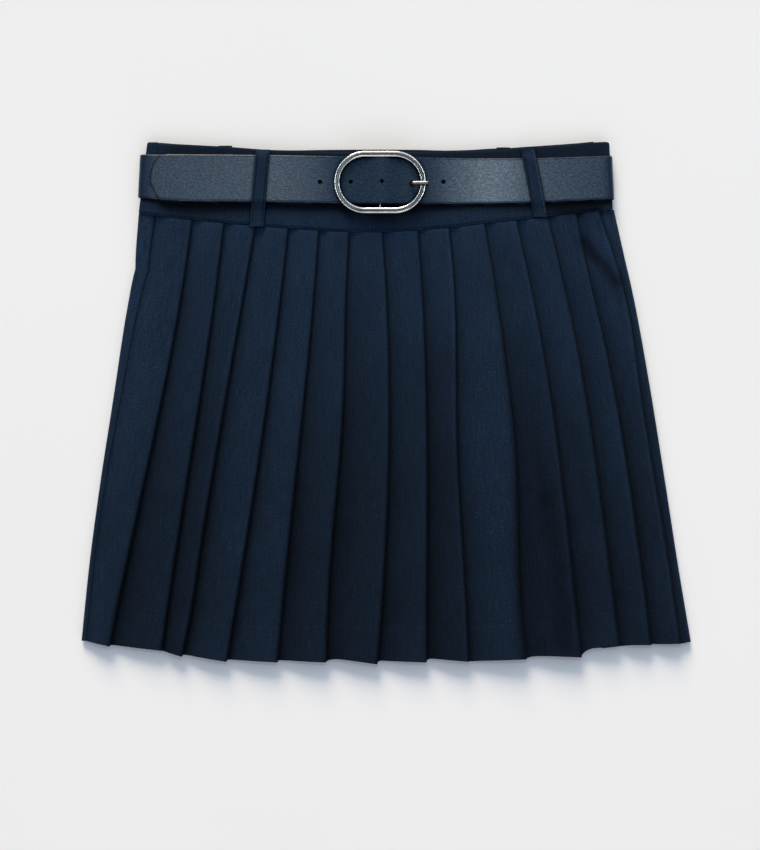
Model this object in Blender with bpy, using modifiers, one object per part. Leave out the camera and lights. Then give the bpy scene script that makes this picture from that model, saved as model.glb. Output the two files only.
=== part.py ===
"""Knife-pleated mini skirt with its own belt, laid flat with its back on the surface.

Metres in Blender, +Z up, +Y towards the waist, +X towards the viewer's right. The driving sizes
below are millimetres. The origin is on the surface, under the middle of the garment.
"""

import bisect
import math
from collections import namedtuple
from functools import partial

import bmesh
import bpy

MM = 0.001

# Cloth and gaps
CLOTH = 1.0  # wall of the pleated cloth
GAP = 0.3  # clearance between pieces that touch
PITCH = CLOTH + GAP  # from one layer of a pleat to the next
FOLD_REACH = 0.65  # how far a fold's rounded edge reaches past its flat layers
CREST = 1.6  # flat cloth kept on both sides of a fold before the face slopes
UNDERLAY = 0.55  # depth of a pleat's underlay, as a share of the face that hides it
DEEPEST = 16.0  # no underlay is deeper than this
ROWS = 11  # rows of the pleated panels, from the waist seam to the hem
SIDE_TURN = 12.0  # how far a panel turns round the side before its side seam
SEAM_LIFT = 0.3  # the panels stand this much higher at the waist seam

# Levels of the cloth's middle, above the surface
BACK_FACE = CLOTH / 2
FRONT_BASE = BACK_FACE + 2 * PITCH + CLOTH + GAP

# Waistband
BAND = 2.1
BAND_BACK = 4.45
BAND_FRONT = BAND_BACK + BAND + GAP
BAND_TOP = BAND_FRONT + BAND / 2
BAND_SIDE_SEAM = -179.0  # the left side seam shows on the front of the waistband
BAND_LEFT_TOP, BAND_LEFT_SEAM = -187.0, -193.8
BAND_RIGHT_TOP, BAND_RIGHT_SEAM = 174.0, 176.6
BAND_BACK_RISE = 0.8  # the back's top edge is cut this much higher and shows past the front's
BAND_ROWS = 5
BAND_STEPS = 18

# Belt
STRAP = 1.4
LOOP = 1.0
LOOP_WIDTH = 10.8
BELT_FRONT = 9.1  # middle of the strap on the front
BELT_TIP = BELT_FRONT + STRAP + GAP  # middle of the strap's tip, which lies on the other end
BELT_BACK = STRAP / 2
BELT_LEFT, BELT_RIGHT = -194.1, 177.6
BELT_LEAN = 0.05  # slope by which the belt's side folds lean out towards the hem
LEAN_ROW = 177.0  # y at which they are as far out as BELT_LEFT and BELT_RIGHT
LEAN_START, LEAN_FULL = 150.0, 170.0  # the lean grows between these distances from the middle
HOLE = 2.7
HOLE_SPACING = 24.2
HOLE_FIRST = -52.0
HOLE_ROW = 174.2

# Buckle: a stadium ring with a bar across its middle and a prong
RING_MIDDLE = (-4.7, 173.5)
RING_LENGTH, RING_WIDTH = 72.5, 49.6
RING_BAND, RING_HEIGHT = 4.9, 3.0
RING_BOTTOM = 13.0
RING_TOP = RING_BOTTOM + RING_HEIGHT
RING_GROOVE = 0.45
BAR_RADIUS = 1.0
RETURN_LEVEL = BAND_TOP + GAP + STRAP / 2
WRAP_RADIUS = BAR_RADIUS + GAP + STRAP / 2
BAR_LEVEL = RETURN_LEVEL + WRAP_RADIUS
RETURN_LENGTH = 14.0
PRONG_ROOT = 0.7
PRONG_BODY = 1.4
PRONG_SLOT = 3.4
PRONG_REST = RING_TOP + GAP + PRONG_BODY

Station = namedtuple("Station", "at value")
Fold = namedtuple("Fold", "seam upper lower hem tip step")
Line = namedtuple("Line", "x y under_x under_y")
StrapPoint = namedtuple("StrapPoint", "x z on_top")
LoopPlace = namedtuple("LoopPlace", "name top_x bottom_x bottom_y belt_top")
ShaftPoint = namedtuple("ShaftPoint", "x z radius")

# Where the waist seam lies: y at each x
WAIST_SEAM = (
    Station(-194.0, 148.5), Station(-152.0, 143.5), Station(-77.0, 137.0), Station(-16.0, 133.8),
    Station(25.0, 135.5), Station(103.0, 143.5), Station(178.5, 152.0),
)
# Top edge of the front waistband: y at each x
BAND_EDGE = (
    Station(-187.0, 204.0), Station(-130.0, 201.3), Station(-88.0, 198.2), Station(60.0, 197.6),
    Station(110.0, 200.2), Station(174.0, 203.8),
)
# The skirt's outline below the waist seam: x at each y
LEFT_EDGE = (
    Station(-187.0, -239.0), Station(-125.0, -233.0), Station(-59.0, -224.5), Station(12.0, -213.5),
    Station(82.0, -202.0), Station(106.0, -197.8), Station(148.5, -194.3),
)
RIGHT_EDGE = (
    Station(-188.0, 238.5), Station(-125.0, 228.5), Station(-59.0, 218.5), Station(12.0, 206.5),
    Station(82.0, 193.5), Station(120.0, 185.0), Station(152.0, 178.3),
)
# The side seam at the viewer's left: how far it lies inside the outline, by its share of the way down
SIDE_SEAM_INSET = (Station(0.0, 12.8), Station(0.33, 7.0), Station(0.67, 4.2), Station(1.0, 3.2))
# Each fold of the front from left to right: its x at the waist seam, a third of the way down, two
# thirds down and at the hem, then the y of the tip that the hem has there and the y at which the
# next face's hem comes out from under it
FRONT_FOLDS = (
    Fold(-152.5, -170.5, -194.0, -218.0, -191.0, -190.0),
    Fold(-127.5, -142.5, -160.0, -176.5, -194.5, -194.5),
    Fold(-103.0, -122.0, -141.5, -162.0, -199.0, -197.5),
    Fold(-77.0, -90.5, -107.0, -126.5, -203.0, -201.5),
    Fold(-53.0, -62.5, -74.5, -86.5, -203.5, -202.0),
    Fold(-30.0, -33.0, -40.5, -49.0, -203.5, -201.0),
    Fold(-3.0, 2.5, 0.5, -8.0, -205.0, -202.5),
    Fold(25.0, 31.0, 32.0, 31.5, -203.5, -201.0),
    Fold(49.5, 55.5, 58.5, 63.0, -203.0, -203.0),
    Fold(77.5, 94.5, 103.0, 109.5, -201.0, -199.5),
    Fold(102.0, 125.5, 141.0, 151.5, -199.5, -195.0),
    Fold(127.5, 152.0, 168.5, 184.0, -190.5, -190.0),
    Fold(149.5, 174.0, 193.0, 208.0, -190.0, -189.5),
    Fold(168.0, 195.0, 213.0, 229.0, -189.0, -189.0),
)
# The back's folds: each one's place as a share of the back's width, from the wearer's left side
BACK_SHARES = (
    0.075, 0.145, 0.215, 0.288, 0.358, 0.43, 0.502, 0.57, 0.645, 0.715, 0.785, 0.857, 0.925,
)
BACK_HEM = (
    Station(-236.0, -186.5), Station(-110.0, -197.0), Station(0.0, -200.0), Station(110.0, -197.5),
    Station(238.0, -187.5),
)
BACK_STEP = 1.0

# Edges of the belt on the front: y at each x
BELT_UPPER = (
    Station(-193.0, 194.8), Station(-103.0, 194.2), Station(-5.0, 192.6), Station(106.0, 191.8),
    Station(177.0, 193.8),
)
BELT_LOWER = (
    Station(-193.0, 161.4), Station(-166.0, 158.6), Station(-105.0, 157.8), Station(-5.0, 156.0),
    Station(113.0, 157.1), Station(177.0, 160.0),
)
# Rounded tip of the strap: y of its two edges at each x
TIP_UPPER = (
    Station(-184.3, 176.0), Station(-183.3, 179.0), Station(-180.3, 186.0), Station(-175.0, 194.4),
)
TIP_LOWER = (
    Station(-184.3, 173.0), Station(-183.2, 170.6), Station(-181.0, 165.5), Station(-178.0, 158.9),
)
# Level of the strap's middle on its way under the ring and over the bar: z at each x
UNDER_LAYER = (
    Station(-60.0, BELT_FRONT), Station(-44.0, BELT_FRONT), Station(-36.0, 9.2), Station(-28.0, 9.6),
    Station(-22.0, 10.2), Station(-18.5, 10.7), Station(-13.0, 11.7), Station(-8.0, 12.65),
)
TOP_LAYER = (
    Station(-60.0, BELT_TIP), Station(-44.0, BELT_TIP), Station(-36.0, 10.95), Station(-28.0, 11.4),
    Station(-22.0, 11.97), Station(-18.5, 12.5), Station(-13.0, 13.55), Station(-8.0, 14.55),
    Station(-2.0, 14.65), Station(2.0, 14.0), Station(7.0, 12.8), Station(12.0, 12.0),
    Station(20.0, 11.5), Station(30.0, 10.9), Station(45.0, 9.9), Station(70.0, BELT_FRONT),
)
# Belt loops: x of the loop's middle at its top and its bottom end, the y of its bottom end and the
# level of the belt's upper face under it
FRONT_LOOPS = (
    LoopPlace("belt_loop_front_left", -96.6, -101.7, 138.5, BELT_TIP + STRAP / 2),
    LoopPlace("belt_loop_front_right", 110.7, 121.1, 146.0, BELT_FRONT + STRAP / 2),
)
BACK_LOOP_LEVEL = LOOP / 2
BACK_LOOPS = (("belt_loop_back_left", -126.6), ("belt_loop_back_right", 92.0))
LOOP_BUMP = BACK_LOOP_LEVEL + LOOP / 2 + GAP + STRAP / 2 - BELT_BACK  # the belt rises over a loop
# The prong from the bar to its tip, which lies on the ring
PRONG_SHAFT = (
    ShaftPoint(1.0, 9.0, 0.8), ShaftPoint(9.0, 9.1, 0.9), ShaftPoint(15.0, 9.2, 1.0),
    ShaftPoint(18.2, 9.8, 1.1), ShaftPoint(20.4, 11.6, 1.1), ShaftPoint(22.4, 14.6, 1.15),
    ShaftPoint(24.0, PRONG_REST - 0.5, PRONG_BODY), ShaftPoint(26.2, PRONG_REST, PRONG_BODY),
    ShaftPoint(31.5, PRONG_REST, PRONG_BODY), ShaftPoint(33.2, PRONG_REST - 0.2, 1.0),
)

COLOURS = {
    "navy_wool": ((0.011, 0.018, 0.036), 0.85, 0.0),
    "navy_leather": ((0.018, 0.032, 0.058), 0.45, 0.0),
    "polished_metal": ((0.78, 0.78, 0.79), 0.18, 1.0),
}


# ---------------------------------------------------------------- helpers

def curve_through(stations):
    """A smooth function through the stations, level in slope beyond them."""
    places = [s.at for s in stations]
    values = [s.value for s in stations]
    steps = [(values[i + 1] - values[i]) / (places[i + 1] - places[i]) for i in range(len(places) - 1)]
    slopes = [steps[0]] + [(a + b) / 2 for a, b in zip(steps, steps[1:])] + [steps[-1]]

    def value_at(place):
        if place <= places[0]:
            return values[0] + slopes[0] * (place - places[0])
        if place >= places[-1]:
            return values[-1] + slopes[-1] * (place - places[-1])
        k = bisect.bisect_right(places, place) - 1
        width = places[k + 1] - places[k]
        u = (place - places[k]) / width
        rise = slopes[k] * width * u * (1 - u) ** 2 - slopes[k + 1] * width * u * u * (1 - u)
        return values[k] + (values[k + 1] - values[k]) * u * u * (3 - 2 * u) + rise

    return value_at


def blend(a, b, share):
    return a + (b - a) * share


def ease(share):
    share = min(max(share, 0.0), 1.0)
    return share * share * (3 - 2 * share)


def material(name):
    made = bpy.data.materials.get(name)
    if made is None:
        colour, roughness, metallic = COLOURS[name]
        made = bpy.data.materials.new(name)
        made.use_nodes = True
        shader = made.node_tree.nodes["Principled BSDF"]
        shader.inputs["Base Color"].default_value = (*colour, 1.0)
        shader.inputs["Roughness"].default_value = roughness
        shader.inputs["Metallic"].default_value = metallic
    return made


def place(obj, collection, finish):
    collection.objects.link(obj)
    if finish:
        obj.data.materials.append(material(finish))
    return obj


def sheet(name, rows, collection, finish, thickness):
    """A cloth wall: a grid of points, row by row, thickened about its middle."""
    bm = bmesh.new()
    grid = [[bm.verts.new([c * MM for c in point]) for point in row] for row in rows]
    for upper, lower in zip(grid, grid[1:]):
        for k in range(len(upper) - 1):
            bm.faces.new((upper[k], lower[k], lower[k + 1], upper[k + 1]))
    mesh = bpy.data.meshes.new(name)
    bm.to_mesh(mesh)
    bm.free()
    obj = place(bpy.data.objects.new(name, mesh), collection, finish)
    wall = obj.modifiers.new("Wall", "SOLIDIFY")
    wall.thickness = thickness * MM
    wall.offset = 0.0
    wall.use_even_offset = True
    wall.use_quality_normals = True
    return obj


def tube(name, points, radii, radius, collection, finish, sides=3):
    """A round bar along the points. Each point has its own share of the radius."""
    curve = bpy.data.curves.new(name, "CURVE")
    curve.dimensions = "3D"
    curve.bevel_depth = radius * MM
    curve.bevel_resolution = sides
    curve.use_fill_caps = True
    spline = curve.splines.new("POLY")
    spline.points.add(len(points) - 1)
    for target, point, share in zip(spline.points, points, radii):
        target.co = (*[c * MM for c in point], 1.0)
        target.radius = share / radius
    return place(bpy.data.objects.new(name, curve), collection, finish)


def as_mesh(obj):
    """A curve object made a mesh with its caps welded on, so that it can be cut or joined."""
    bpy.context.view_layer.update()
    graph = bpy.context.evaluated_depsgraph_get()
    mesh = bpy.data.meshes.new_from_object(obj.evaluated_get(graph))
    bm = bmesh.new()
    bm.from_mesh(mesh)
    bmesh.ops.remove_doubles(bm, verts=bm.verts, dist=0.00001)
    bm.to_mesh(mesh)
    bm.free()
    name, collection = obj.name, obj.users_collection[0]
    made = bpy.data.objects.new(name + "_mesh", mesh)
    made.matrix_world = obj.matrix_world
    collection.objects.link(made)
    bpy.data.objects.remove(obj)
    made.name = name
    return made


def boolean(obj, other, operation):
    change = obj.modifiers.new(operation.title() + "_" + other.name, "BOOLEAN")
    change.operation = operation
    change.solver = "EXACT"
    change.object = other


def hide(obj):
    obj.hide_render = True
    obj.display_type = "WIRE"


# ---------------------------------------------------------------- pleated panels

waist_seam = curve_through(WAIST_SEAM)
left_edge = curve_through(LEFT_EDGE)
right_edge = curve_through(RIGHT_EDGE)
back_hem = curve_through(BACK_HEM)
side_seam_inset = curve_through(SIDE_SEAM_INSET)


def fold_x(fold, down):
    """The cubic through the fold's four places."""
    a, b, c = down - 1 / 3, down - 2 / 3, down - 1
    return (
        -4.5 * a * b * c * fold.seam
        + 13.5 * down * b * c * fold.upper
        - 13.5 * down * a * c * fold.lower
        + 4.5 * down * a * b * fold.hem
    )


def fold_line(x_at, top, tip, step, down):
    """A fold's place in one row. Its underlay's rows lie higher, so they are moved along the fold."""
    y, under_y = blend(top, tip, down), blend(top, step, down)
    near = 0.01
    lean = (x_at(down + near) - x_at(down - near)) / (2 * near * (tip - top))
    return Line(x_at(down), y, x_at(down) + lean * (under_y - y), under_y)


def front_lines(down):
    """Border, folds and outline of the front in one row."""
    seam_y = waist_seam(LEFT_EDGE[-1].value + SIDE_SEAM_INSET[0].value)
    border_y = blend(seam_y, LEFT_EDGE[0].at, down)
    border_x = left_edge(border_y) + side_seam_inset(down)
    lines = [Line(border_x, border_y, border_x, border_y)]
    for fold in FRONT_FOLDS:
        lines.append(fold_line(partial(fold_x, fold), waist_seam(fold.seam), fold.tip, fold.step, down))
    edge_y = blend(RIGHT_EDGE[-1].at, RIGHT_EDGE[0].at, down)
    return lines + [Line(right_edge(edge_y), edge_y, right_edge(edge_y), edge_y)]


def right_wrap(down):
    """Where the front ends on the underside, at the side seam near the right edge."""
    edge_y = blend(RIGHT_EDGE[-1].at, RIGHT_EDGE[0].at, down)
    y = blend(waist_seam(RIGHT_EDGE[-1].value - SIDE_TURN), RIGHT_EDGE[0].at, down)
    return right_edge(edge_y) - SIDE_TURN, y


def left_wrap(down):
    """Where the back ends on top, at the side seam near the left edge, with x turned round."""
    border = front_lines(down)[0]
    return -(border.x - GAP), border.y


def back_fold_x(share, down):
    right = right_edge(blend(RIGHT_EDGE[-1].at, RIGHT_EDGE[0].at, down))
    left = left_edge(blend(LEFT_EDGE[-1].at, LEFT_EDGE[0].at, down))
    return -blend(right, left, share)


def back_lines(down):
    """The same for the back, seen from outside: x is turned round, so it starts at +X."""
    start_x, start_y = right_wrap(down)
    lines = [Line(GAP - start_x, start_y, GAP - start_x, start_y)]
    for share in BACK_SHARES:
        x_at = partial(back_fold_x, share)
        tip = back_hem(-x_at(1.0))
        lines.append(fold_line(x_at, waist_seam(-x_at(0.0)), tip, tip + BACK_STEP, down))
    edge_y = blend(LEFT_EDGE[-1].at, LEFT_EDGE[0].at, down)
    return lines + [Line(-left_edge(edge_y), edge_y, -left_edge(edge_y), edge_y)]


def pleated_row(lines, turn_end, side_level):
    """One row across a panel, from its border over each fold to the outline and round it.

    Each point is x, y, level and sink. Level 0 is the inner layer and level 2 the faces, and the
    border and the turn are at side_level. Sink is how far a point has turned round the side.
    """
    points = [(lines[0].x, lines[0].y, side_level, 0.0)]
    level = side_level
    for before, here, after in zip(lines, lines[1:], lines[2:]):
        depth = min(UNDERLAY * (here.x - before.x), DEEPEST)
        slope = (here.y - before.under_y) / (here.x - before.under_x)
        next_slope = (after.y - here.under_y) / (after.x - here.under_x)
        inner = here.under_x - depth
        inner_y = here.under_y - next_slope * depth
        points += [
            (before.under_x + CREST, before.under_y + slope * CREST, level, 0.0),
            (here.x - depth - CREST, here.y - slope * (depth + CREST), 2.0, 0.0),
            (here.x - FOLD_REACH, here.y, 2.0, 0.0),
            ((here.x + here.under_x) / 2, (here.y + here.under_y) / 2, 1.5, 0.0),
            (here.under_x - FOLD_REACH, here.under_y, 1.0, 0.0),
            (inner + FOLD_REACH, inner_y, 1.0, 0.0),
            (inner, inner_y, 0.5, 0.0),
            (inner + FOLD_REACH, inner_y, 0.0, 0.0),
        ]
        level = 0.0
    last, edge = lines[-2:]
    radius = (FRONT_BASE - BACK_FACE) / 2
    points.append((last.under_x + CREST, last.under_y, 0.0, 0.0))
    for angle in range(0, 181, 30):
        reach = edge.x - CLOTH / 2 - radius * (1 - math.sin(math.radians(angle)))
        sink = radius * (1 - math.cos(math.radians(angle)))
        points.append((reach, edge.y, side_level, sink))
    points.append((*turn_end, side_level, 2 * radius))
    return points


def pleated_panel(name, lines_at, turn_end_at, side_level, base, up, collection):
    rows = []
    for k in range(ROWS):
        down = k / (ROWS - 1)
        lift = SEAM_LIFT * (1 - ease(down * (ROWS - 1)))
        row = []
        for x, y, level, sink in pleated_row(lines_at(down), turn_end_at(down), side_level):
            z = base + up * (level * PITCH - sink)
            row.append((up * x, y - GAP / 2 * (1 - down), z + lift))
        rows.append(row if up > 0 else row[::-1])
    return sheet(name, rows, collection, "navy_wool", CLOTH)


# ---------------------------------------------------------------- waistband

band_edge = curve_through(BAND_EDGE)


def band_row(share, front):
    """One row across the waistband, from its free border to the end of its turn round a side."""
    left = blend(BAND_LEFT_TOP, BAND_LEFT_SEAM, share)
    right = blend(BAND_RIGHT_TOP, BAND_RIGHT_SEAM, share)
    radius = (BAND_FRONT - BAND_BACK) / 2
    if front:
        start, end, side, level, way = BAND_SIDE_SEAM, right - SIDE_TURN, right, BAND_FRONT, 1
    else:
        start, end, side, level, way = right - SIDE_TURN - GAP, BAND_SIDE_SEAM - GAP, left, BAND_BACK, -1
    turn = side - way * (BAND / 2 + radius)
    path = [(blend(start, turn, k / BAND_STEPS), level) for k in range(BAND_STEPS)]
    for angle in range(0, 181, 30):
        out = radius * math.sin(math.radians(angle))
        path.append((turn + way * out, level - way * radius * (1 - math.cos(math.radians(angle)))))
    path.append((end, level - way * 2 * radius))
    higher = 0.0 if front else BAND_BACK_RISE
    row = []
    for x, z in path:
        top, seam = band_edge(x) + higher, waist_seam(x) + GAP / 2
        row.append((x, blend(top, seam, share), z))
    return row if front else row[::-1]


def waistband(name, front, collection):
    rows = [band_row(k / (BAND_ROWS - 1), front) for k in range(BAND_ROWS)]
    return sheet(name, rows, collection, "navy_wool", BAND)


# ---------------------------------------------------------------- belt

belt_upper = curve_through(BELT_UPPER)
belt_lower = curve_through(BELT_LOWER)
tip_upper = curve_through(TIP_UPPER)
tip_lower = curve_through(TIP_LOWER)
under_layer = curve_through(UNDER_LAYER)
top_layer = curve_through(TOP_LAYER)


def back_run_level(x):
    """The strap's middle on the back: on the surface, rising over each belt loop."""
    rise = 0.0
    for _, loop_x in BACK_LOOPS:
        off = abs(x - loop_x) - LOOP_WIDTH / 2 - 1.0
        rise = max(rise, 1 - ease(off / 9.0))
    return BELT_BACK + LOOP_BUMP * rise


def run(level_at, start, end, steps, on_top=False):
    """Points of the strap's middle from one x to another."""
    places = [blend(start, end, k / steps) for k in range(steps + 1)]
    return [StrapPoint(x, level_at(x), on_top) for x in places]


def half_turn(middle_x, middle_z, radius, side, start):
    """Half a circle by way of that side, from its top for start 1 or from its bottom for -1."""
    points = []
    for degrees in range(0, 181, 20):
        angle = math.radians(degrees)
        x = middle_x + side * radius * math.sin(angle)
        points.append(StrapPoint(x, middle_z + start * radius * math.cos(angle), False))
    return points


def strap_path():
    """The strap's middle from its sewn end, round the bar, round the waist, to its tip."""
    bar_x = RING_MIDDLE[0]
    radius = (BELT_FRONT - BELT_BACK) / 2
    path = run(lambda x: RETURN_LEVEL, bar_x - RETURN_LENGTH, bar_x - RETURN_LENGTH / 2, 1)
    path += half_turn(bar_x, BAR_LEVEL, WRAP_RADIUS, 1, -1)
    path += run(under_layer, -8.0, -60.0, 20)
    path += run(lambda x: BELT_FRONT, -75.0, -175.0, 5)
    path += half_turn(BELT_LEFT + STRAP / 2 + radius, BELT_BACK + radius, radius, -1, 1)
    path += run(back_run_level, -180.0, 164.0, 44)
    path += half_turn(BELT_RIGHT - STRAP / 2 - radius, BELT_BACK + radius, radius, 1, -1)
    path += run(lambda x: BELT_FRONT, 160.0, 80.0, 4)
    path += run(top_layer, 70.0, -60.0, 50, True)
    path += run(lambda x: BELT_TIP, -75.0, -165.0, 5, True)
    end = TIP_UPPER[0].at
    for degrees in range(90, -1, -15):
        x = end + (TIP_UPPER[-1].at - end) * (1 - math.cos(math.radians(degrees)))
        path.append(StrapPoint(x, BELT_TIP, True))
    return path


def strap_point(point, share):
    """A point of the strap, by its share of the way from the upper to the lower edge."""
    upper, lower = belt_upper(point.x), belt_lower(point.x)
    if point.on_top:
        y = blend(min(upper, tip_upper(point.x)), max(lower, tip_lower(point.x)), share)
        return point.x, y, point.z
    y = blend(upper, lower, share)
    grown = ease((abs(point.x) - LEAN_START) / (LEAN_FULL - LEAN_START))
    lean = BELT_LEAN * (LEAN_ROW - y) * grown
    return point.x + (lean if point.x > 0 else -lean), y, point.z


def belt_strap(collection):
    path = strap_path()
    rows = [[strap_point(point, k / 3) for point in path] for k in range(4)]
    strap = sheet("belt_strap", rows, collection, "navy_leather", STRAP)
    cutters = [hole_cutter(k) for k in range(5)] + [slot_cutter()]
    for cutter in cutters:
        boolean(strap, cutter, "DIFFERENCE")
    return strap


def hole_cutter(k):
    """A punch through the strap's top layer alone. The prong has drawn its own hole longer."""
    x = HOLE_FIRST + HOLE_SPACING * k
    depth = STRAP + GAP
    bpy.ops.mesh.primitive_cylinder_add(vertices=16, radius=HOLE / 2 * MM, depth=depth * MM)
    cutter = bpy.context.object
    cutter.name = f"hole_cutter_{k + 1}"
    slope = (top_layer(x + 1) - top_layer(x - 1)) / 2
    cutter.location = (x * MM, HOLE_ROW * MM, top_layer(x) * MM)
    cutter.rotation_euler = (0.0, -math.atan(slope), 0.0)
    if k == 3:
        cutter.scale = (2.4, 1.4, 1.0)
    return move_to_cutters(cutter)


def slot_cutter():
    """The slot in the strap's wrap, where the prong sits on the bar."""
    bpy.ops.mesh.primitive_cube_add(size=1)
    cutter = bpy.context.object
    cutter.name = "slot_cutter"
    top = BAR_LEVEL + WRAP_RADIUS + STRAP / 2 + GAP / 2
    low = RETURN_LEVEL - STRAP / 2 - GAP
    cutter.scale = (9.0 * MM, PRONG_SLOT * MM, (top - low) * MM)
    cutter.location = (RING_MIDDLE[0] * MM, HOLE_ROW * MM, (top + low) / 2 * MM)
    return move_to_cutters(cutter)


def move_to_cutters(obj):
    for collection in obj.users_collection:
        collection.objects.unlink(obj)
    bpy.data.collections["cutters"].objects.link(obj)
    hide(obj)
    return obj


# ---------------------------------------------------------------- belt loops

def loop_strip(name, path, x_at, collection):
    """A narrow strip of cloth along path, (y, z) points, with its middle at x_at(y)."""
    rows = []
    for y, z in path:
        x = x_at(y)
        rows.append([(x - LOOP_WIDTH / 2, y, z), (x, y, z), (x + LOOP_WIDTH / 2, y, z)])
    return sheet(name, rows, collection, "navy_wool", LOOP)


def front_loop(place_of, collection):
    """From the waistband's top edge, up over the belt and down to the waist seam."""
    top_y = band_edge(place_of.top_x)
    over = place_of.belt_top + GAP + LOOP / 2 + 0.1
    low = BAND_TOP + GAP + LOOP / 2
    upper, lower = belt_upper(place_of.top_x), belt_lower(place_of.bottom_x)
    rise = over - low
    path = [
        (top_y - 0.2, low),
        (top_y - 1.2, low + 0.1),
        (upper + 1.9, low + 0.45 * rise),
        (upper + 1.0, over - 0.3),
        (upper - 0.6, over),
        (blend(upper, lower, 0.5), over),
        (lower + 0.6, over),
        (lower - 1.1, over - 0.3),
        (lower - 2.4, low + 0.45 * rise),
        (lower - 4.6, low + 0.1),
        (lower - 6.4, low),
        (place_of.bottom_y, low),
    ]

    def x_at(y):
        return blend(place_of.top_x, place_of.bottom_x, (top_y - y) / (top_y - place_of.bottom_y))

    return loop_strip(place_of.name, path, x_at, collection)


def back_loop(name, x, collection):
    """The same on the back, with the belt above it and the surface below it."""
    top_y = band_edge(x) + BAND_BACK_RISE
    sewn = BAND_BACK - BAND / 2 - GAP - LOOP / 2
    upper, lower = belt_upper(x), belt_lower(x)
    path = [
        (top_y + 1.1, BAND_BACK + 0.6),
        (top_y + 1.1, sewn + 0.9),
        (top_y + 0.4, sewn - 0.05),
        (top_y - 1.2, sewn - 0.2),
        (upper + 1.2, BACK_LOOP_LEVEL + 0.1),
        (upper - 0.4, BACK_LOOP_LEVEL),
        (lower + 0.4, BACK_LOOP_LEVEL),
        (lower - 1.4, BACK_LOOP_LEVEL + 0.1),
        (lower - 4.0, sewn - 0.4),
        (lower - 5.5, sewn),
        (waist_seam(x) + 1.5, sewn),
    ]
    return loop_strip(name, path, lambda y: x, collection)


# ---------------------------------------------------------------- buckle

def stadium(half_length, half_width, arc_steps):
    """Points round a rectangle with half-round ends."""
    straight = half_length - half_width
    points = []
    for end, start_angle in ((1, -90), (-1, 90)):
        for k in range(arc_steps + 1):
            angle = math.radians(start_angle + 180 * k / arc_steps)
            points.append((end * straight + half_width * math.cos(angle), half_width * math.sin(angle)))
    return points


def ring_profile(collection):
    """Section of the ring: flat below, two rounded ridges with a groove between them above."""
    half, height = RING_BAND / 2, RING_HEIGHT / 2
    right_half = [
        (half - 0.5, -height), (half, -height + 0.5), (half, height - 0.9),
        (half - 0.35, height - 0.25), (half - 1.0, height), (0.75, height - 0.15),
        (0.0, height - RING_GROOVE),
    ]
    points = right_half + [(-u, v) for u, v in reversed(right_half[:-1])]
    curve = bpy.data.curves.new("ring_profile", "CURVE")
    curve.dimensions = "2D"
    spline = curve.splines.new("POLY")
    spline.points.add(len(points) - 1)
    spline.use_cyclic_u = True
    for target, (u, v) in zip(spline.points, points):
        target.co = (u * MM, v * MM, 0.0, 1.0)
    profile = bpy.data.objects.new("ring_profile", curve)
    collection.objects.link(profile)
    hide(profile)
    return profile


def buckle_frame(collection, guides):
    curve = bpy.data.curves.new("buckle_frame", "CURVE")
    curve.dimensions = "3D"
    curve.twist_mode = "Z_UP"
    curve.bevel_mode = "OBJECT"
    curve.bevel_object = ring_profile(guides)
    spline = curve.splines.new("POLY")
    points = stadium((RING_LENGTH - RING_BAND) / 2, (RING_WIDTH - RING_BAND) / 2, 14)
    spline.points.add(len(points) - 1)
    spline.use_cyclic_u = True
    level = RING_BOTTOM + RING_HEIGHT / 2
    for target, (x, y) in zip(spline.points, points):
        target.co = ((RING_MIDDLE[0] + x) * MM, (RING_MIDDLE[1] + y) * MM, level * MM, 1.0)
    ring = as_mesh(place(bpy.data.objects.new("buckle_frame", curve), collection, "polished_metal"))
    bar = as_mesh(centre_bar(guides))
    hide(bar)
    boolean(ring, bar, "UNION")
    return ring


def centre_bar(guides):
    """A straight bar under the ring, with both ends bent up into it."""
    x, y = RING_MIDDLE
    reach = (RING_WIDTH - RING_BAND) / 2
    path = []
    for side in (-1, 1):
        end = [(x, y + side * reach, RING_BOTTOM + RING_HEIGHT / 2),
               (x, y + side * reach, BAR_LEVEL + 0.6),
               (x, y + side * (reach - 0.6), BAR_LEVEL)]
        path += end if side < 0 else end[::-1]
    return tube("centre_bar", path, [BAR_RADIUS] * len(path), BAR_RADIUS, guides, "polished_metal")


def buckle_prong(collection):
    """Round the bar, under the strap, up through its hole and over the ring's right arc."""
    bar_x = RING_MIDDLE[0]
    around = BAR_RADIUS + GAP + PRONG_ROOT
    path, radii = [], []
    for angle in range(50, 271, 20):
        a = math.radians(angle)
        path.append((bar_x + around * math.cos(a), BAR_LEVEL + around * math.sin(a)))
        radii.append(PRONG_ROOT)
    for point in PRONG_SHAFT:
        path.append((point.x, point.z))
        radii.append(point.radius)
    points = [(x, HOLE_ROW, z) for x, z in path]
    return tube("buckle_prong", points, radii, PRONG_BODY, collection, "polished_metal")


# ---------------------------------------------------------------- assembly

def main():
    for obj in list(bpy.data.objects):
        bpy.data.objects.remove(obj)
    skirt = bpy.data.collections.new("pleated_mini_skirt")
    cutters = bpy.data.collections.new("cutters")
    for collection in (skirt, cutters):
        bpy.context.scene.collection.children.link(collection)
    pleated_panel("front_panel", front_lines, right_wrap, 0.0, FRONT_BASE, 1, skirt)
    pleated_panel("back_panel", back_lines, left_wrap, 2.0, BACK_FACE + 2 * PITCH, -1, skirt)
    waistband("waistband_front", True, skirt)
    waistband("waistband_back", False, skirt)
    belt_strap(skirt)
    for place_of in FRONT_LOOPS:
        front_loop(place_of, skirt)
    for name, x in BACK_LOOPS:
        back_loop(name, x, skirt)
    buckle_frame(skirt, cutters)
    buckle_prong(skirt)


main()
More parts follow.
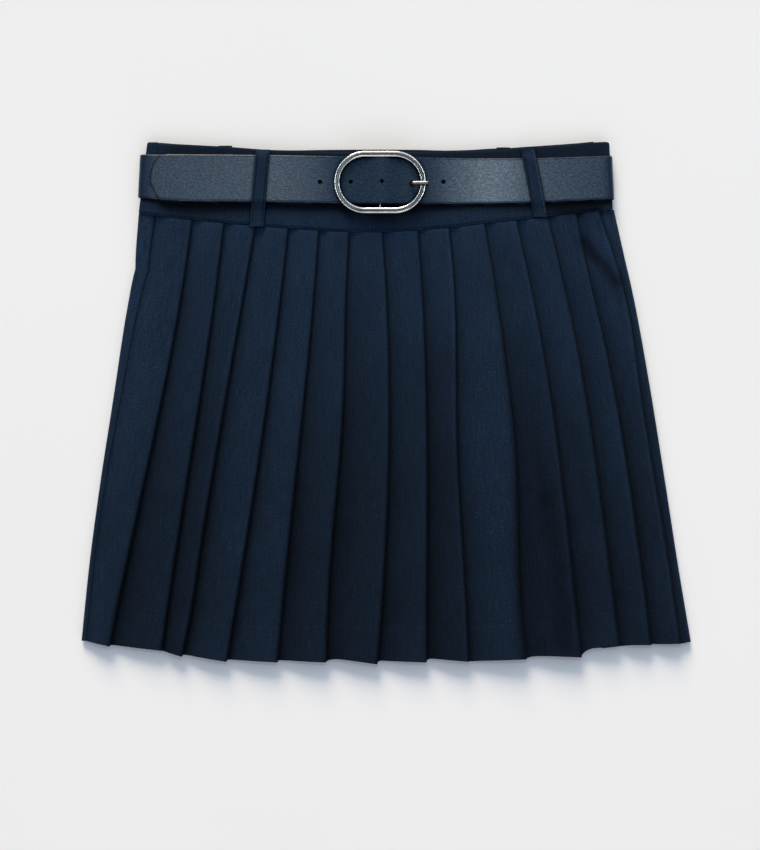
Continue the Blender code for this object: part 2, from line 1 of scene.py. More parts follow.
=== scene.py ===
"""Looks of the pleated mini skirt with its belt, laid flat and seen from straight above.

Lengths are in millimetres until a mesh or the camera is made, which is in metres; lights are placed
in metres. +X is the viewer's right, +Y points to the waist and +Z up from the surface. Every piece
takes the place of its solid. Folds, seams, belt and hems have the part's own tables, and the outline,
the ring and the holes are set a little off them, to lie where the camera shows them.
"""

import bisect
import math
from collections import namedtuple

import bpy
import numpy as np
from mathutils.kdtree import KDTree
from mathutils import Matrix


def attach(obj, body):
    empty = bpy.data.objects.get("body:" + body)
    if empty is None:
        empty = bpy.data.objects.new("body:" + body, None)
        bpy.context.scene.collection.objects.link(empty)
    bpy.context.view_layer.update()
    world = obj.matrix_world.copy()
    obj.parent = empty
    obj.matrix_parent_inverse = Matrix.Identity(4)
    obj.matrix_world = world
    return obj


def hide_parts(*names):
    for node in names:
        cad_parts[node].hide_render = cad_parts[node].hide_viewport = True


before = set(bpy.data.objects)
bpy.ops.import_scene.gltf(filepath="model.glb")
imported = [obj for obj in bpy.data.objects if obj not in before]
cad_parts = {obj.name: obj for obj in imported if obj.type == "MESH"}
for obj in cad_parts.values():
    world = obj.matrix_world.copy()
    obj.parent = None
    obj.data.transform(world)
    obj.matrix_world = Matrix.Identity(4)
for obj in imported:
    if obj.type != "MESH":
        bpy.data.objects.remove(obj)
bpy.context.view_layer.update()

MM = 0.001
SHARP = math.radians(50)

# Photograph: one pixel is 0.785 mm on the skirt's upper face, and the camera looks straight down
PIXEL = 0.785
IMAGE_WIDTH, IMAGE_HEIGHT = 760, 850
MIDDLE_PIXEL = (386.3, 403.0)  # the pixel over the frame's origin

# Cloth and levels, as in the solids, but for thinner cloth and shallower underlays
CLOTH = 0.8
GAP = 0.3
PITCH = 1.3
FOLD_REACH = 0.65
UNDERLAY = 0.42
DEEPEST = 13.0
SIDE_TURN = 12.0
BACK_FACE = 0.5
FRONT_BASE = 4.4

BAND = 2.1
BAND_BACK = 4.45
BAND_FRONT = 6.85
BAND_SIDE_SEAM = -179.0
BAND_LEFT_TOP, BAND_LEFT_SEAM = -187.8, -194.6
BAND_RIGHT_TOP, BAND_RIGHT_SEAM = 175.2, 178.0

STRAP = 1.4
LOOP = 1.0
LOOP_WIDTH = 10.8
BELT_FRONT = 9.1
BELT_TIP = BELT_FRONT + STRAP + GAP
BELT_BACK = STRAP / 2
BELT_LEFT, BELT_RIGHT = -194.4, 178.4
BELT_LEAN = 0.05
LEAN_ROW = 177.0
LEAN_START, LEAN_FULL = 150.0, 170.0
HOLE = 2.7
HOLE_RIM, HOLE_RIM_DEPTH = 0.45, 0.75
HOLE_SIDES = 32
PRONG_HOLE = 3  # the hole that the prong goes through
HOLE_SPACING = 24.2
HOLE_FIRST = -52.0
HOLE_ROW = 173.1
PRONG_ROW = 171.6

RING_MIDDLE = (-4.9, 172.4)
RING_LENGTH, RING_WIDTH = 72.1, 48.8
RING_BAND, RING_HEIGHT = 4.6, 3.0
RING_BOTTOM = 13.0
RING_TOP = RING_BOTTOM + RING_HEIGHT
BAR_RADIUS = 1.0
RETURN_LEVEL = BAND_FRONT + BAND / 2 + GAP + STRAP / 2
WRAP_RADIUS = BAR_RADIUS + GAP + STRAP / 2
BAR_LEVEL = RETURN_LEVEL + WRAP_RADIUS
RETURN_LENGTH = 14.0
PRONG_ROOT = 0.7
PRONG_BODY = 1.4
PRONG_SLOT, SLOT_LENGTH = 3.4, 9.0
PRONG_REST = RING_TOP + GAP + PRONG_BODY

Station = namedtuple("Station", "at value")
Fold = namedtuple("Fold", "seam upper lower hem tip step")
Line = namedtuple("Line", "x y under_x under_y")
StrapPoint = namedtuple("StrapPoint", "x z on_top")
ShaftPoint = namedtuple("ShaftPoint", "x z radius")
LOOK_FIELDS = "opening depth width rim roll face settle bow"
FoldLook = namedtuple("FoldLook", LOOK_FIELDS, defaults=(0.7, 0))
Crease = namedtuple("Crease", "height width course")
Wave = namedtuple("Wave", "height across down start")
LoopPlace = namedtuple("LoopPlace", "name top_x bottom_x bottom_y belt_top")
RingEnd = namedtuple("RingEnd", "way first_degrees groove_tone")


def table(kind, *rows):
    return [kind(*row) for row in rows]


WAIST_SEAM = table(
    Station, (-194, 148.5), (-152, 143.5), (-77, 137), (-16, 133.8), (25, 135.5), (103, 143.5),
    (178.5, 152),
)
BAND_EDGE = table(
    Station, (-187, 204), (-130, 201.3), (-88, 198.2), (60, 197.6), (110, 200.2), (150, 203.2),
    (163, 204.5), (174, 205.1),
)
# How far the band's back stands above its front
BAND_BACK_RISE = table(
    Station, (-190, 0.6), (-178, 1), (-165, 0.6), (-110, 0.6), (-72, 1), (-55, 1.7), (-30, 2.35),
    (0, 2.5), (25, 2.1), (45, 1.25), (66, 1.2), (82, 1.5), (94, 1.1), (110, 1.25), (172, 0.9),
)
# The left outline has a small step where the layer underneath begins to show
LEFT_EDGE = table(
    Station, (-187, -239.9), (-125, -233.5), (-59, -224.6), (12, -213.6), (62, -206.1),
    (92, -200.8), (97.5, -199.8), (101.5, -198.2), (118, -197.3), (148.5, -194.9),
)
RIGHT_EDGE = table(
    Station, (-188, 239.7), (-125, 229.2), (-59, 219), (12, 207.6), (82, 194.9), (120, 186.3),
    (152, 179.2),
)
SIDE_SEAM_INSET = table(Station, (0, 13.4), (0.33, 7.5), (0.67, 4.3), (1, 4.1))
FRONT_FOLDS = table(
    Fold,
    (-152.5, -170.5, -194, -218, -191, -190),
    (-127.5, -142.5, -160, -176.5, -194.5, -194.5),
    (-103, -122, -141.5, -162, -199, -197.5),
    (-77, -90.5, -107, -126.5, -203, -201.5),
    (-53, -62.5, -74.5, -86.5, -203.5, -202),
    (-30, -33, -40.5, -49, -203.5, -201),
    (-3, 2.5, 0.5, -8, -205, -202.5),
    (25, 31, 32, 31.5, -203.5, -201),
    (49.5, 55.5, 58.5, 63, -203, -203),
    (77.5, 94.5, 103, 109.5, -201, -199.5),
    (102, 125.5, 141, 151.5, -199.5, -195),
    (127.5, 152, 168.5, 184, -190.5, -190),
    (149.5, 174, 193, 208, -190, -189.5),
    (168, 195, 213, 229, -189, -189),
)
BACK_SHARES = (
    0.075, 0.145, 0.215, 0.288, 0.358, 0.43, 0.502, 0.57, 0.645, 0.715, 0.785, 0.857, 0.925,
)
BACK_HEM = table(
    Station, (-236, -186.5), (-110, -197), (0, -200), (110, -197.5), (238, -187.5),
)
BACK_STEP = 1
# How each front fold looks at the hem: how far it stands open, how dark the painted shade
# beside it is, how far that painted shade reaches, how much lighter the painted highlight on its
# pressed edge is, how far before its edge the painted shade of its rounded edge reaches, how
# much lighter or darker its own face is painted, and beyond it, how soon the hem settles and how
# it bows
FOLD_LOOKS = table(
    FoldLook,
    (1.6, 0.95, 15, 0, 2.2, 1.15),
    (1.2, 1, 13, 0.05, 1.8, 0.98),
    (1.7, 1.05, 13, 0.2, 1.6, 0.93),
    (1.5, 0.98, 11, 0.05, 1.6, 1.1),
    (1.3, 0.93, 16, 0, 2.2, 1.15),
    (1.6, 1, 22, 0.05, 2, 0.95, 3, 0.8),
    (1.8, 0.94, 18, 0.15, 1.8, 0.91),
    (1.5, 1.02, 22, 0.05, 1.6, 0.97, 1, 0.4),
    (1.4, 0.9, 12, 0.4, 1.3, 0.92),
    (2.2, 0.72, 32, 0, 5, 1.12, 3, 0.8),
    (2, 0.8, 19, 0.3, 1.8, 0.88, 4, 1.4),
    (1.6, 0.88, 14, 0.05, 1.6, 1.08),
    (1.4, 0.88, 10, 0.25, 1.5, 1.08),
    (0.8, 0.55, 3, 0.4, 1.4, 1),
)
BACK_LOOK = FoldLook(0.5, 0.85, 8, 0.05, 1.6, 1)
# Painted light: how much the cloth's colour is lightened or darkened down the skirt, as the light
# falls off from the waist to the hem
FALL = table(
    Station, (0, 1.14), (0.06, 1.1), (0.13, 1.03), (0.24, 0.99), (0.36, 0.92), (0.5, 0.82),
    (0.64, 0.75), (0.78, 0.7), (0.87, 0.68), (1, 0.72),
)

BELT_UPPER = table(
    Station, (-193, 194.8), (-103, 194.2), (-5, 192.6), (106, 191.8), (177, 193.8),
)
BELT_LOWER = table(
    Station, (-193, 161.4), (-166, 158.6), (-105, 157.8), (-5, 156), (113, 157.1), (177, 160),
)
TIP_UPPER = table(
    Station, (-184.3, 175.5), (-183.9, 179), (-182.4, 185.3), (-179.4, 190.6), (-175, 194.4),
)
TIP_LOWER = table(
    Station, (-184.3, 173), (-183.2, 170.6), (-181, 165.5), (-178, 158.9),
)
UNDER_LAYER = table(
    Station, (-60, BELT_FRONT), (-44, BELT_FRONT), (-36, 9.2), (-28, 9.6), (-22, 10.2),
    (-18.5, 10.7), (-13, 11.7), (-8, 12.65),
)
TOP_LAYER = table(
    Station, (-60, BELT_TIP), (-44, BELT_TIP), (-36, 10.95), (-28, 11.4), (-22, 11.97),
    (-18.5, 12.5), (-13, 13.55), (-8, 14.55), (-2, 14.65), (2, 14), (7, 12.8), (12, 12), (20, 11.5),
    (30, 10.9), (45, 9.9), (70, BELT_FRONT),
)
# How glossy the leather is along the belt, as a share: least glossy inside the ring, where it is
# creased
GLOSS = table(
    Station, (-184.4, 0.5), (-183.9, 1.27), (-83, 1.27), (-72, 1.05), (-61, 0.88), (-50, 0.6),
    (-42, 0.38), (-36, 0.06), (27, 0.06), (32, 0.32), (37, 0.45), (48, 0.78), (59, 1.15), (70, 1.5),
    (82, 1.68), (94, 1.55), (106, 1.08), (125, 0.84), (177, 0.66),
)
# How far below the belt the painted shadow of the belt reaches on the band
BELT_SHADOW = table(
    Station, (-193, 2), (-181, 3), (-172, 8.5), (-158, 10.5), (-134, 9), (-110, 7), (-87, 5.7),
    (-60, 6.4), (40, 5), (66, 3.9), (97, 4.5), (115, 6), (144, 11), (163, 10.5), (172, 5),
)
FRONT_LOOPS = table(
    LoopPlace,
    ("belt_loop_front_left", -96.6, -101.7, 138.5, BELT_TIP + STRAP / 2),
    ("belt_loop_front_right", 110.7, 121.1, 146, BELT_FRONT + STRAP / 2),
)
BACK_LOOPS = (("belt_loop_back_left", -126.6), ("belt_loop_back_right", 92))
LOOP_BUMP = LOOP + GAP
PRONG_SHAFT = table(
    ShaftPoint,
    (1, 9, 0.8), (9, 9.1, 0.9), (15.6, 9.2, 1),
    (18.8, 9.8, 1.1), (19.8, 11.8, 1.25), (20, 14.8, 1.35),
    (20.5, PRONG_REST - 0.3, 1.45), (22.5, PRONG_REST, 1.5),
    (31.2, PRONG_REST, 1.6), (32.4, PRONG_REST - 0.1, 1.5),
)

# How far each fold strays from its smooth course, by the share of its way down; the number is the
# fold's, from the left
NO_SWAY = table(Station, (0, 0), (1, 0))
FOLD_SWAYS = {
    1: table(Station, (0, 0), (0.6, 0), (0.9, 0.4), (1, 0.8)),
    3: table(Station, (0, 0), (0.7, 0.1), (0.9, 2), (1, 1.5)),
    4: table(Station, (0, 0), (0.75, 0.1), (1, 1)),
    5: table(Station, (0, 0), (0.75, 0), (1, 1)),
    6: table(Station, (0, 0.6), (0.15, -1.1), (0.45, 0.5), (0.78, -0.7), (1, 1.6)),
    7: table(Station, (0, 0), (0.6, -0.3), (1, 0.8)),
    9: table(Station, (0, 0), (0.12, 1.1), (0.5, -1.4), (0.88, 2), (1, 1.7)),
    10: table(Station, (0, -0.3), (0.3, 0), (0.52, 1.5), (0.88, -1.6), (1, 0.4)),
    11: table(Station, (0, 0.3), (0.5, 0.1), (0.85, 0.5), (1, 1.8)),
    12: table(Station, (0, -0.5), (0.14, -0.8), (0.35, 0), (0.85, 0), (1, -1.1)),
    13: table(Station, (0, -0.4), (0.15, -1.3), (0.3, 0), (1, -0.2)),
    14: table(Station, (0, -1), (0.2, 2.7), (0.45, -0.3), (0.85, 2.3), (1, 2.2)),
}
# Soft creases and bulges of the front: height over the cloth round it, width and course
CREASES = table(
    Crease,
    (-1.1, 3.5, ((155.5, 126), (161, 117.5), (167.5, 111), (174, 104.5), (179.5, 96))),
    (-0.5, 2.6, ((179.5, 96), (183.5, 86), (185, 79))),
    (-0.5, 1.1, ((168.5, 149), (167, 144), (169, 132), (172, 122))),
    (-0.2, 8, ((160, 128), (168, 112), (176, 96))),
    (0.7, 3.6, ((166, 129), (173, 117), (182, 103))),
    (0.5, 4, ((160, 104), (168, 84), (176, 60))),
    (-0.7, 1.6, ((-193, 133), (-186, 133.5))),
    (0.4, 2.4, ((-192, 129.5), (-184, 130))),
    (0.5, 5, ((128, 138), (140, 105))),
    (0.8, 7, ((99, 60), (104, 0), (107, -60))),
    (-0.5, 5, ((106, 50), (108, 18), (114, -29), (126, -76))),
    (-0.65, 5, ((126, -76), (134.5, -123), (138, -155), (140, -190))),
    (0.35, 6, ((-60, 96), (-48, 90))),
    (0.5, 5, ((-205, -60), (-199, -20))),
    (0.5, 8, ((60, -120), (70, -170))),
    (0.5, 7, ((-110, -90), (-118, -160))),
    (0.4, 7, ((10, 10), (16, -80))),
    (-0.35, 5, ((-68, -60), (-73, -140))),
    (-0.35, 4, ((148, -20), (161, -90))),
)
WAVES = table(Wave, (0.28, 31, 90, 0.4), (0.22, -120, 41, 1.9), (0.16, 17, -27, 2.7), (0.1, 9, 55, 4.1))
HEM_TURN = 28.5  # height of the hem's fold-up above the hem


# ---------------------------------------------------------------- helpers

def curve_through(stations):
    """A smooth function through the stations, going straight on beyond them."""
    places = [s.at for s in stations]
    values = [s.value for s in stations]
    steps = [(values[i + 1] - values[i]) / (places[i + 1] - places[i]) for i in range(len(places) - 1)]
    slopes = [steps[0]] + [(a + b) / 2 for a, b in zip(steps, steps[1:])] + [steps[-1]]

    def value_at(place):
        if place <= places[0]:
            return values[0] + slopes[0] * (place - places[0])
        if place >= places[-1]:
            return values[-1] + slopes[-1] * (place - places[-1])
        k = bisect.bisect_right(places, place) - 1
        width = places[k + 1] - places[k]
        u = (place - places[k]) / width
        rise = slopes[k] * width * u * (1 - u) ** 2 - slopes[k + 1] * width * u * u * (1 - u)
        return values[k] + (values[k + 1] - values[k]) * u * u * (3 - 2 * u) + rise

    return value_at


def steps_through(stations):
    """A function through the stations in straight steps and level beyond them, also for arrays."""
    places, values = zip(*stations)
    return lambda place: np.interp(place, places, values)


def blend(a, b, share):
    return a + (b - a) * share


def ease(share):
    share = min(max(share, 0.0), 1.0)
    return share * share * (3 - 2 * share)


def soft_step(off, width):
    """1 well below zero and 0 well above it."""
    return 1 / (1 + np.exp(off / width))


def hump(off, width):
    """1 at zero and nothing well away from it on both sides."""
    return np.exp(-((off / width) ** 2))


waist_seam = curve_through(WAIST_SEAM)
band_edge = curve_through(BAND_EDGE)
back_rise = curve_through(BAND_BACK_RISE)
left_edge = curve_through(LEFT_EDGE)
right_edge = curve_through(RIGHT_EDGE)
back_hem = curve_through(BACK_HEM)
side_seam_inset = curve_through(SIDE_SEAM_INSET)
belt_upper = curve_through(BELT_UPPER)
belt_lower = curve_through(BELT_LOWER)
tip_upper = curve_through(TIP_UPPER)
tip_lower = curve_through(TIP_LOWER)
under_layer = curve_through(UNDER_LAYER)
top_layer = curve_through(TOP_LAYER)
fall_at = steps_through(FALL)
gloss_at = steps_through(GLOSS)
shadow_reach = steps_through(BELT_SHADOW)


def smoothed(values, times):
    """Each value but the first and last drawn towards its neighbours, time after time."""
    values = np.array(values, dtype=float)
    for _ in range(times):
        values[1:-1] = (values[:-2] + 2 * values[1:-1] + values[2:]) / 4
    return values


def shares_across(ends, first, count):
    """Shares of the way across a strip, as a column, close together at both of its edges."""
    between = [blend(first, 1 - first, k / (count - 1)) for k in range(count)]
    return np.array([*ends, *between, *(1 - share for share in ends[::-1])])[:, None]


def rounded_off(near_edge, radius, least):
    """How thick a strip is close to its rounded edges, as a share."""
    return np.sqrt(np.clip(1 - (1 - np.clip(near_edge / radius, 0, 1)) ** 2, least, 1.0))


def unit(vectors):
    lengths = np.linalg.norm(vectors, axis=-1, keepdims=True)
    return vectors / np.maximum(lengths, 1e-9)


def add_mesh(name, points, faces, finish):
    """A mesh object from points in millimetres, smooth but for its sharp rims."""
    mesh = bpy.data.meshes.new(name)
    mesh.from_pydata((np.asarray(points) * MM).tolist(), [], faces)
    mesh.shade_smooth()
    mesh.set_sharp_from_angle(angle=SHARP)
    obj = bpy.data.objects.new(name, mesh)
    bpy.context.scene.collection.objects.link(obj)
    mesh.materials.append(finish)
    return obj


def attribute_key(found):
    return "vector" if found.data_type == "FLOAT_VECTOR" else "value"


def add_attribute(obj, name, kind, values):
    made = obj.data.attributes.new(name, kind, "POINT")
    made.data.foreach_set(attribute_key(made), np.asarray(values, dtype=np.float32).ravel())


def grid_faces(rows, columns, start=0, turned=False):
    faces = []
    for r in range(rows - 1):
        for c in range(columns - 1):
            a = start + r * columns + c
            face = (a, a + columns, a + columns + 1, a + 1)
            faces.append(face[::-1] if turned else face)
    return faces


def tube_faces(rings, sides, start=0, closed=False):
    """Faces of a tube of rings of points, which run clockwise as seen from its end.

    Its ends are shut, unless the tube closes on itself.
    """
    faces = []
    for ring in range(rings if closed else rings - 1):
        here, ahead = start + ring * sides, start + (ring + 1) % rings * sides
        for n in range(sides):
            turn = (n + 1) % sides
            faces.append((here + n, ahead + n, ahead + turn, here + turn))
    if not closed:
        last = start + (rings - 1) * sides
        faces.append(tuple(start + n for n in range(sides)))
        faces.append(tuple(last + n for n in reversed(range(sides))))
    return faces


def circle(sides):
    turns = [2 * math.pi * n / sides for n in range(sides)]
    return [(math.cos(turn), math.sin(turn)) for turn in turns]


def wall(name, middle, half, finish, shade=None):
    """A wall of cloth or leather round a grid of middle points, with its half thickness at each.

    The grid's rows run down the piece and its columns across it. grain holds where each point
    lies on the uncut piece, in metres, and shade the painted light and shade that lighten or
    darken the cloth's colour there.
    """
    middle = np.asarray(middle, dtype=float)
    rows, columns = middle.shape[:2]
    half = np.broadcast_to(np.asarray(half, dtype=float), (rows, columns))
    along = np.gradient(middle, axis=0)
    across = np.gradient(middle, axis=1)
    normal = unit(np.cross(along, across))
    outer = middle + normal * half[..., None]
    inner = middle - normal * half[..., None]
    count = rows * columns
    faces = grid_faces(rows, columns) + grid_faces(rows, columns, count, turned=True)
    top, left = range(columns), range(0, count, columns)
    low, right = range(count - columns, count), range(columns - 1, count, columns)
    for rim in (top, low[::-1], left[::-1], right):
        faces += [(a, b, count + b, count + a) for a, b in zip(rim, rim[1:])]
    obj = add_mesh(name, np.concatenate([outer.reshape(-1, 3), inner.reshape(-1, 3)]), faces, finish)
    steps_x = np.linalg.norm(np.diff(middle, axis=1), axis=2)
    steps_y = np.linalg.norm(np.diff(middle, axis=0), axis=2)
    grain = np.zeros((rows, columns, 3))
    grain[:, 1:, 0] = np.cumsum(steps_x, axis=1).mean(axis=0)
    grain[1:, :, 1] = np.cumsum(steps_y, axis=0).mean(axis=1)[:, None]
    add_attribute(obj, "grain", "FLOAT_VECTOR", np.concatenate([grain, grain]) * MM)
    shade = np.ones((rows, columns)) if shade is None else np.asarray(shade)
    add_attribute(obj, "shade", "FLOAT", np.concatenate([shade, shade]))
    return obj


def cloth_piece(obj, node):
    """What every piece of cloth does: it rides on the root and hides the solid that it stands for."""
    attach(obj, "root")
    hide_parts(node)


# ---------------------------------------------------------------- materials

class Graph:
    """The nodes of a material or of the world. A method adds a node and gives its output."""

    def __init__(self, tree):
        self.nodes, self.links = tree.nodes, tree.links

    def put(self, target, value):
        """Link an output to an input, or set the input to a number, a vector or a colour."""
        if isinstance(value, bpy.types.NodeSocket):
            self.links.new(value, target)
        elif target.type == "RGBA":
            target.default_value = (*value, 1.0)
        else:
            target.default_value = value

    def add(self, kind, output, inputs=None, **settings):
        node = self.nodes.new("ShaderNode" + kind)
        for name, value in settings.items():
            setattr(node, name, value)
        for key, value in (inputs or {}).items():
            self.put(node.inputs[key], value)
        return node.outputs[output]

    def attribute(self, name, output="Fac"):
        return self.add("Attribute", output, attribute_name=name)

    def scaled(self, vector, scale):
        return self.add("Mapping", "Vector", {"Vector": vector, "Scale": scale})

    def noise(self, vector, scale, detail=2.0, roughness=0.5):
        inputs = {"Vector": vector, "Scale": scale, "Detail": detail, "Roughness": roughness}
        return self.add("TexNoise", "Fac", inputs)

    def ramp(self, value, low, high, low_at=0.0, high_at=1.0):
        """From low to high, two colours or two numbers, between two places."""
        node = self.nodes.new("ShaderNodeValToRGB")
        for end, colour, place in zip(node.color_ramp.elements, (low, high), (low_at, high_at)):
            end.position = place
            end.color = (*colour, 1.0) if hasattr(colour, "__len__") else (colour, colour, colour, 1.0)
        self.put(node.inputs["Fac"], value)
        return node.outputs["Color"]

    def mixed(self, a, b, factor, kind="MIX"):
        return self.add("Mix", 2, {0: factor, 6: a, 7: b}, data_type="RGBA", blend_type=kind)

    def multiplied(self, colour, *tints):
        for tint in tints:
            colour = self.mixed(colour, tint, 1.0, "MULTIPLY")
        return colour

    def bump(self, height, strength, distance, below=None):
        """Relief from height, on top of the relief below."""
        inputs = {"Height": height, "Strength": strength, "Distance": distance}
        if below is not None:
            inputs["Normal"] = below
        return self.add("Bump", "Normal", inputs)

    def shade(self, inputs):
        """Set or link the inputs of the material's shader."""
        for name, value in inputs.items():
            self.put(self.nodes["Principled BSDF"].inputs[name], value)


def new_material(name):
    made = bpy.data.materials.new(name)
    made.use_nodes = True
    return made, Graph(made.node_tree)


def cloth_material():
    """Fine navy twill: diagonal ribs, slubs along the warp and a few paler fibres."""
    made, graph = new_material("navy_twill")
    grain = graph.attribute("grain", "Vector")
    flecks = graph.noise(grain, 700, 3, 0.6)
    warp = graph.noise(graph.scaled(grain, (1, 0.1, 1)), 650)
    clouds = graph.noise(grain, 22)
    fibres = graph.ramp(graph.noise(grain, 900, 1), 0, 0.7, 0.75, 0.8)
    colour = graph.ramp(flecks, (0.0042, 0.0113, 0.0245), (0.0096, 0.0222, 0.0455), 0.32, 0.68)
    warp_tint = graph.ramp(warp, 0.82, 1.17, 0.3, 0.7)
    cloud_tint = graph.ramp(clouds, 0.9, 1.1, 0.3, 0.7)
    colour = graph.multiplied(colour, warp_tint, cloud_tint)
    colour = graph.mixed(colour, (0.09, 0.12, 0.17), fibres)
    rib_inputs = {"Vector": grain, "Scale": 520, "Distortion": 1.5, "Detail": 1}
    ribs = graph.add("TexWave", "Fac", rib_inputs, bands_direction="DIAGONAL")
    relief = graph.bump(ribs, 0.35, 0.0002)
    # The base colour is multiplied by the painted light and shade of the shade attribute
    graph.shade({
        "Base Color": graph.multiplied(colour, graph.attribute("shade", "Color")),
        "Normal": graph.bump(flecks, 0.3, 0.0003, relief),
        "Roughness": 0.82,
        "Specular IOR Level": 0.06,
        "Sheen Weight": 0.02,
        "Sheen Roughness": 0.5,
        "Sheen Tint": (0.55, 0.7, 1.0),
    })
    return made


def leather_material():
    """Navy coated leather: crumpled grain, worn places on its cut edge, painted shade in its hollows
    and holes, and a painted sheen where it lies rumpled inside the ring.
    """
    made, graph = new_material("navy_coated_leather")
    grain = graph.attribute("grain", "Vector")
    wrinkles = graph.noise(graph.scaled(grain, (0.5, 1, 1)), 600, 4, 0.65)
    speckle = graph.noise(graph.scaled(grain, (0.6, 1, 1)), 1300, 2, 0.6)
    patches = graph.ramp(graph.noise(grain, 60, 3), 0.9, 1.1, 0.3, 0.7)
    colour = graph.ramp(wrinkles, (0.002, 0.009, 0.023), (0.0078, 0.0225, 0.049), 0.34, 0.66)
    colour = graph.multiplied(colour, patches)
    worn = graph.ramp(graph.noise(grain, 90, 3, 0.7), 0, 1, 0.48, 0.62)
    worn = graph.multiplied(graph.attribute("edge"), worn)
    colour = graph.mixed(colour, (0.045, 0.06, 0.08), worn)
    # Painted sheen: inside the ring, where the leather is rumpled, its colour is made lighter to stand in
    # for the reflection that its low gloss there leaves out
    painted_sheen_colour = graph.ramp(wrinkles, (0.0115, 0.0215, 0.036), (0.0205, 0.038, 0.064), 0.34, 0.66)
    colour = graph.mixed(colour, painted_sheen_colour, graph.attribute("rumpled_painted_sheen"))
    # Painted shade: ambient occlusion darkens the colour and the gloss in hollows, holes and under the
    # ring
    open_air = graph.add("AmbientOcclusion", "AO", {"Distance": 0.003}, samples=8)
    painted_hollow_shade = graph.ramp(open_air, 0, 1, 0.5, 0.97)
    speckle_tint = graph.ramp(speckle, 0.7, 1.32, 0.36, 0.64)
    speckle_gloss = graph.ramp(speckle, 0.75, 1.25, 0.36, 0.64)
    sideways = graph.ramp(graph.add("LayerWeight", "Facing"), 1, 0.05, 0.5, 0.95)
    relief = graph.bump(wrinkles, 0.85, 0.0002)
    graph.shade({
        "Base Color": graph.multiplied(colour, speckle_tint, painted_hollow_shade),
        "Roughness": graph.ramp(wrinkles, 0.31, 0.21, 0.3, 0.7),
        "Specular IOR Level": graph.multiplied(graph.attribute("gloss"), painted_hollow_shade, sideways, speckle_gloss),
        "Normal": graph.bump(speckle, 0.3, 0.00004, relief),
    })
    return made


def metal_material():
    """Polished plated metal, faintly uneven in its gloss. Its colour is multiplied by the shade
    attribute: painted highlights on its ridges and painted shade on its flanks and in its groove.
    """
    made, graph = new_material("polished_plate")
    smears = graph.noise(graph.add("TexCoord", "Object"), 90)
    tint = graph.ramp(smears, (0.79, 0.75, 0.69), (0.86, 0.825, 0.77), 0.3, 0.7)
    graph.shade({
        "Base Color": graph.multiplied(tint, graph.attribute("shade", "Color")),
        "Roughness": graph.ramp(smears, 0.17, 0.22, 0.3, 0.7),
        "Metallic": 1.0,
    })
    return made


def thread_material(name, low, high, gloss):
    """Navy sewing thread, made as two painted copies of one thread: painted darker where it is sunk
    into the cloth and in shade, painted paler where it lies on top in the light.
    """
    made, graph = new_material(name)
    ply = graph.noise(graph.add("TexCoord", "Object"), 1800)
    graph.shade({
        "Base Color": graph.ramp(ply, low, high, 0.3, 0.7),
        "Normal": graph.bump(ply, 0.3, 0.0001),
        "Roughness": 0.6,
        "Specular IOR Level": gloss,
    })
    return made


def floor_material():
    made, graph = new_material("pale_floor")
    mottle = graph.noise(graph.add("TexCoord", "Object"), 3)
    graph.shade({
        "Base Color": graph.ramp(mottle, (0.803, 0.801, 0.795), (0.818, 0.816, 0.81), 0.3, 0.7),
        "Roughness": 0.9,
        "Specular IOR Level": 0.1,
    })
    return made


CLOTH_FINISH = cloth_material()
LEATHER_FINISH = leather_material()
METAL_FINISH = metal_material()
# One thread in two copies, one with painted shade and one with painted light
PAINTED_SHADE_THREAD = thread_material("thread_painted_shade", (0.0004, 0.001, 0.002), (0.001, 0.002, 0.004), 0.0)
PAINTED_LIGHT_THREAD = thread_material("thread_painted_light", (0.03, 0.05, 0.08), (0.05, 0.075, 0.11), 0.2)


# ---------------------------------------------------------------- pleated panels

FACE_POINTS, SIDE_POINTS = 15, 5
FACE_START = 0.8  # where a face begins, beyond the fold that lies on it
FACE_CROWN, SIDE_CROWN = 0.35, 0.5  # how far a face bulges between its folds
EDGE_ANGLES = (80, 45, 0, -45, -80)
INNER_ANGLES = (70, 0, -70)
# Painted shade on each fold's turned edge and on the cloth hidden under it
EDGE_TONE, HIDDEN_TONE = 0.25, 0.3
FRONT_ROWS, BACK_ROWS = 104, 60
PANEL_LENGTH = 345.0
TURN_ROWS = (-1.6, -0.8, -0.3, 0.3, 0.8, 1.6)  # rows about the top of the hem's turn
SEAM_ROWS = (0.7, 2, 4)  # rows close below the seam
HEM_ROWS = (0.7, 1.5, 3.2)  # rows close above the hem


def fold_x(fold, down):
    """The cubic through the fold's four places."""
    a, b, c = down - 1 / 3, down - 2 / 3, down - 1
    return (
        -4.5 * a * b * c * fold.seam
        + 13.5 * down * b * c * fold.upper
        - 13.5 * down * a * c * fold.lower
        + 4.5 * down * a * b * fold.hem
    )


def fold_line(x_at, top, tip, step, down):
    """A fold's place in one row. Its underlay's rows lie higher, so they are moved along the fold."""
    y, under_y = blend(top, tip, down), blend(top, step, down)
    near = 0.01
    lean = (x_at(down + near) - x_at(down - near)) / (2 * near * (tip - top))
    return Line(x_at(down), y, x_at(down) + lean * (under_y - y), under_y)


def fold_course(number, fold):
    """The fold's x at each share of its way down, with its own small straying."""
    sway = curve_through(FOLD_SWAYS.get(number, NO_SWAY))
    return lambda down: fold_x(fold, down) + sway(down)


FOLD_COURSES = [fold_course(k + 1, fold) for k, fold in enumerate(FRONT_FOLDS)]


def tone_after(look, off, down):
    """Painted shade: how much the cloth's colour is darkened at this distance beyond a fold, where it
    comes out from under it.
    """
    depth = min(look.depth * (0.2 + 0.65 * (1 - math.exp(-down / 0.25))), 0.93)
    width = 2.6 + (look.width - 2.6) * (1 - math.exp(-down / 0.4))
    return (1 - depth * math.exp(-off / width)) * (1 - 0.2 * math.exp(-off / 0.9))


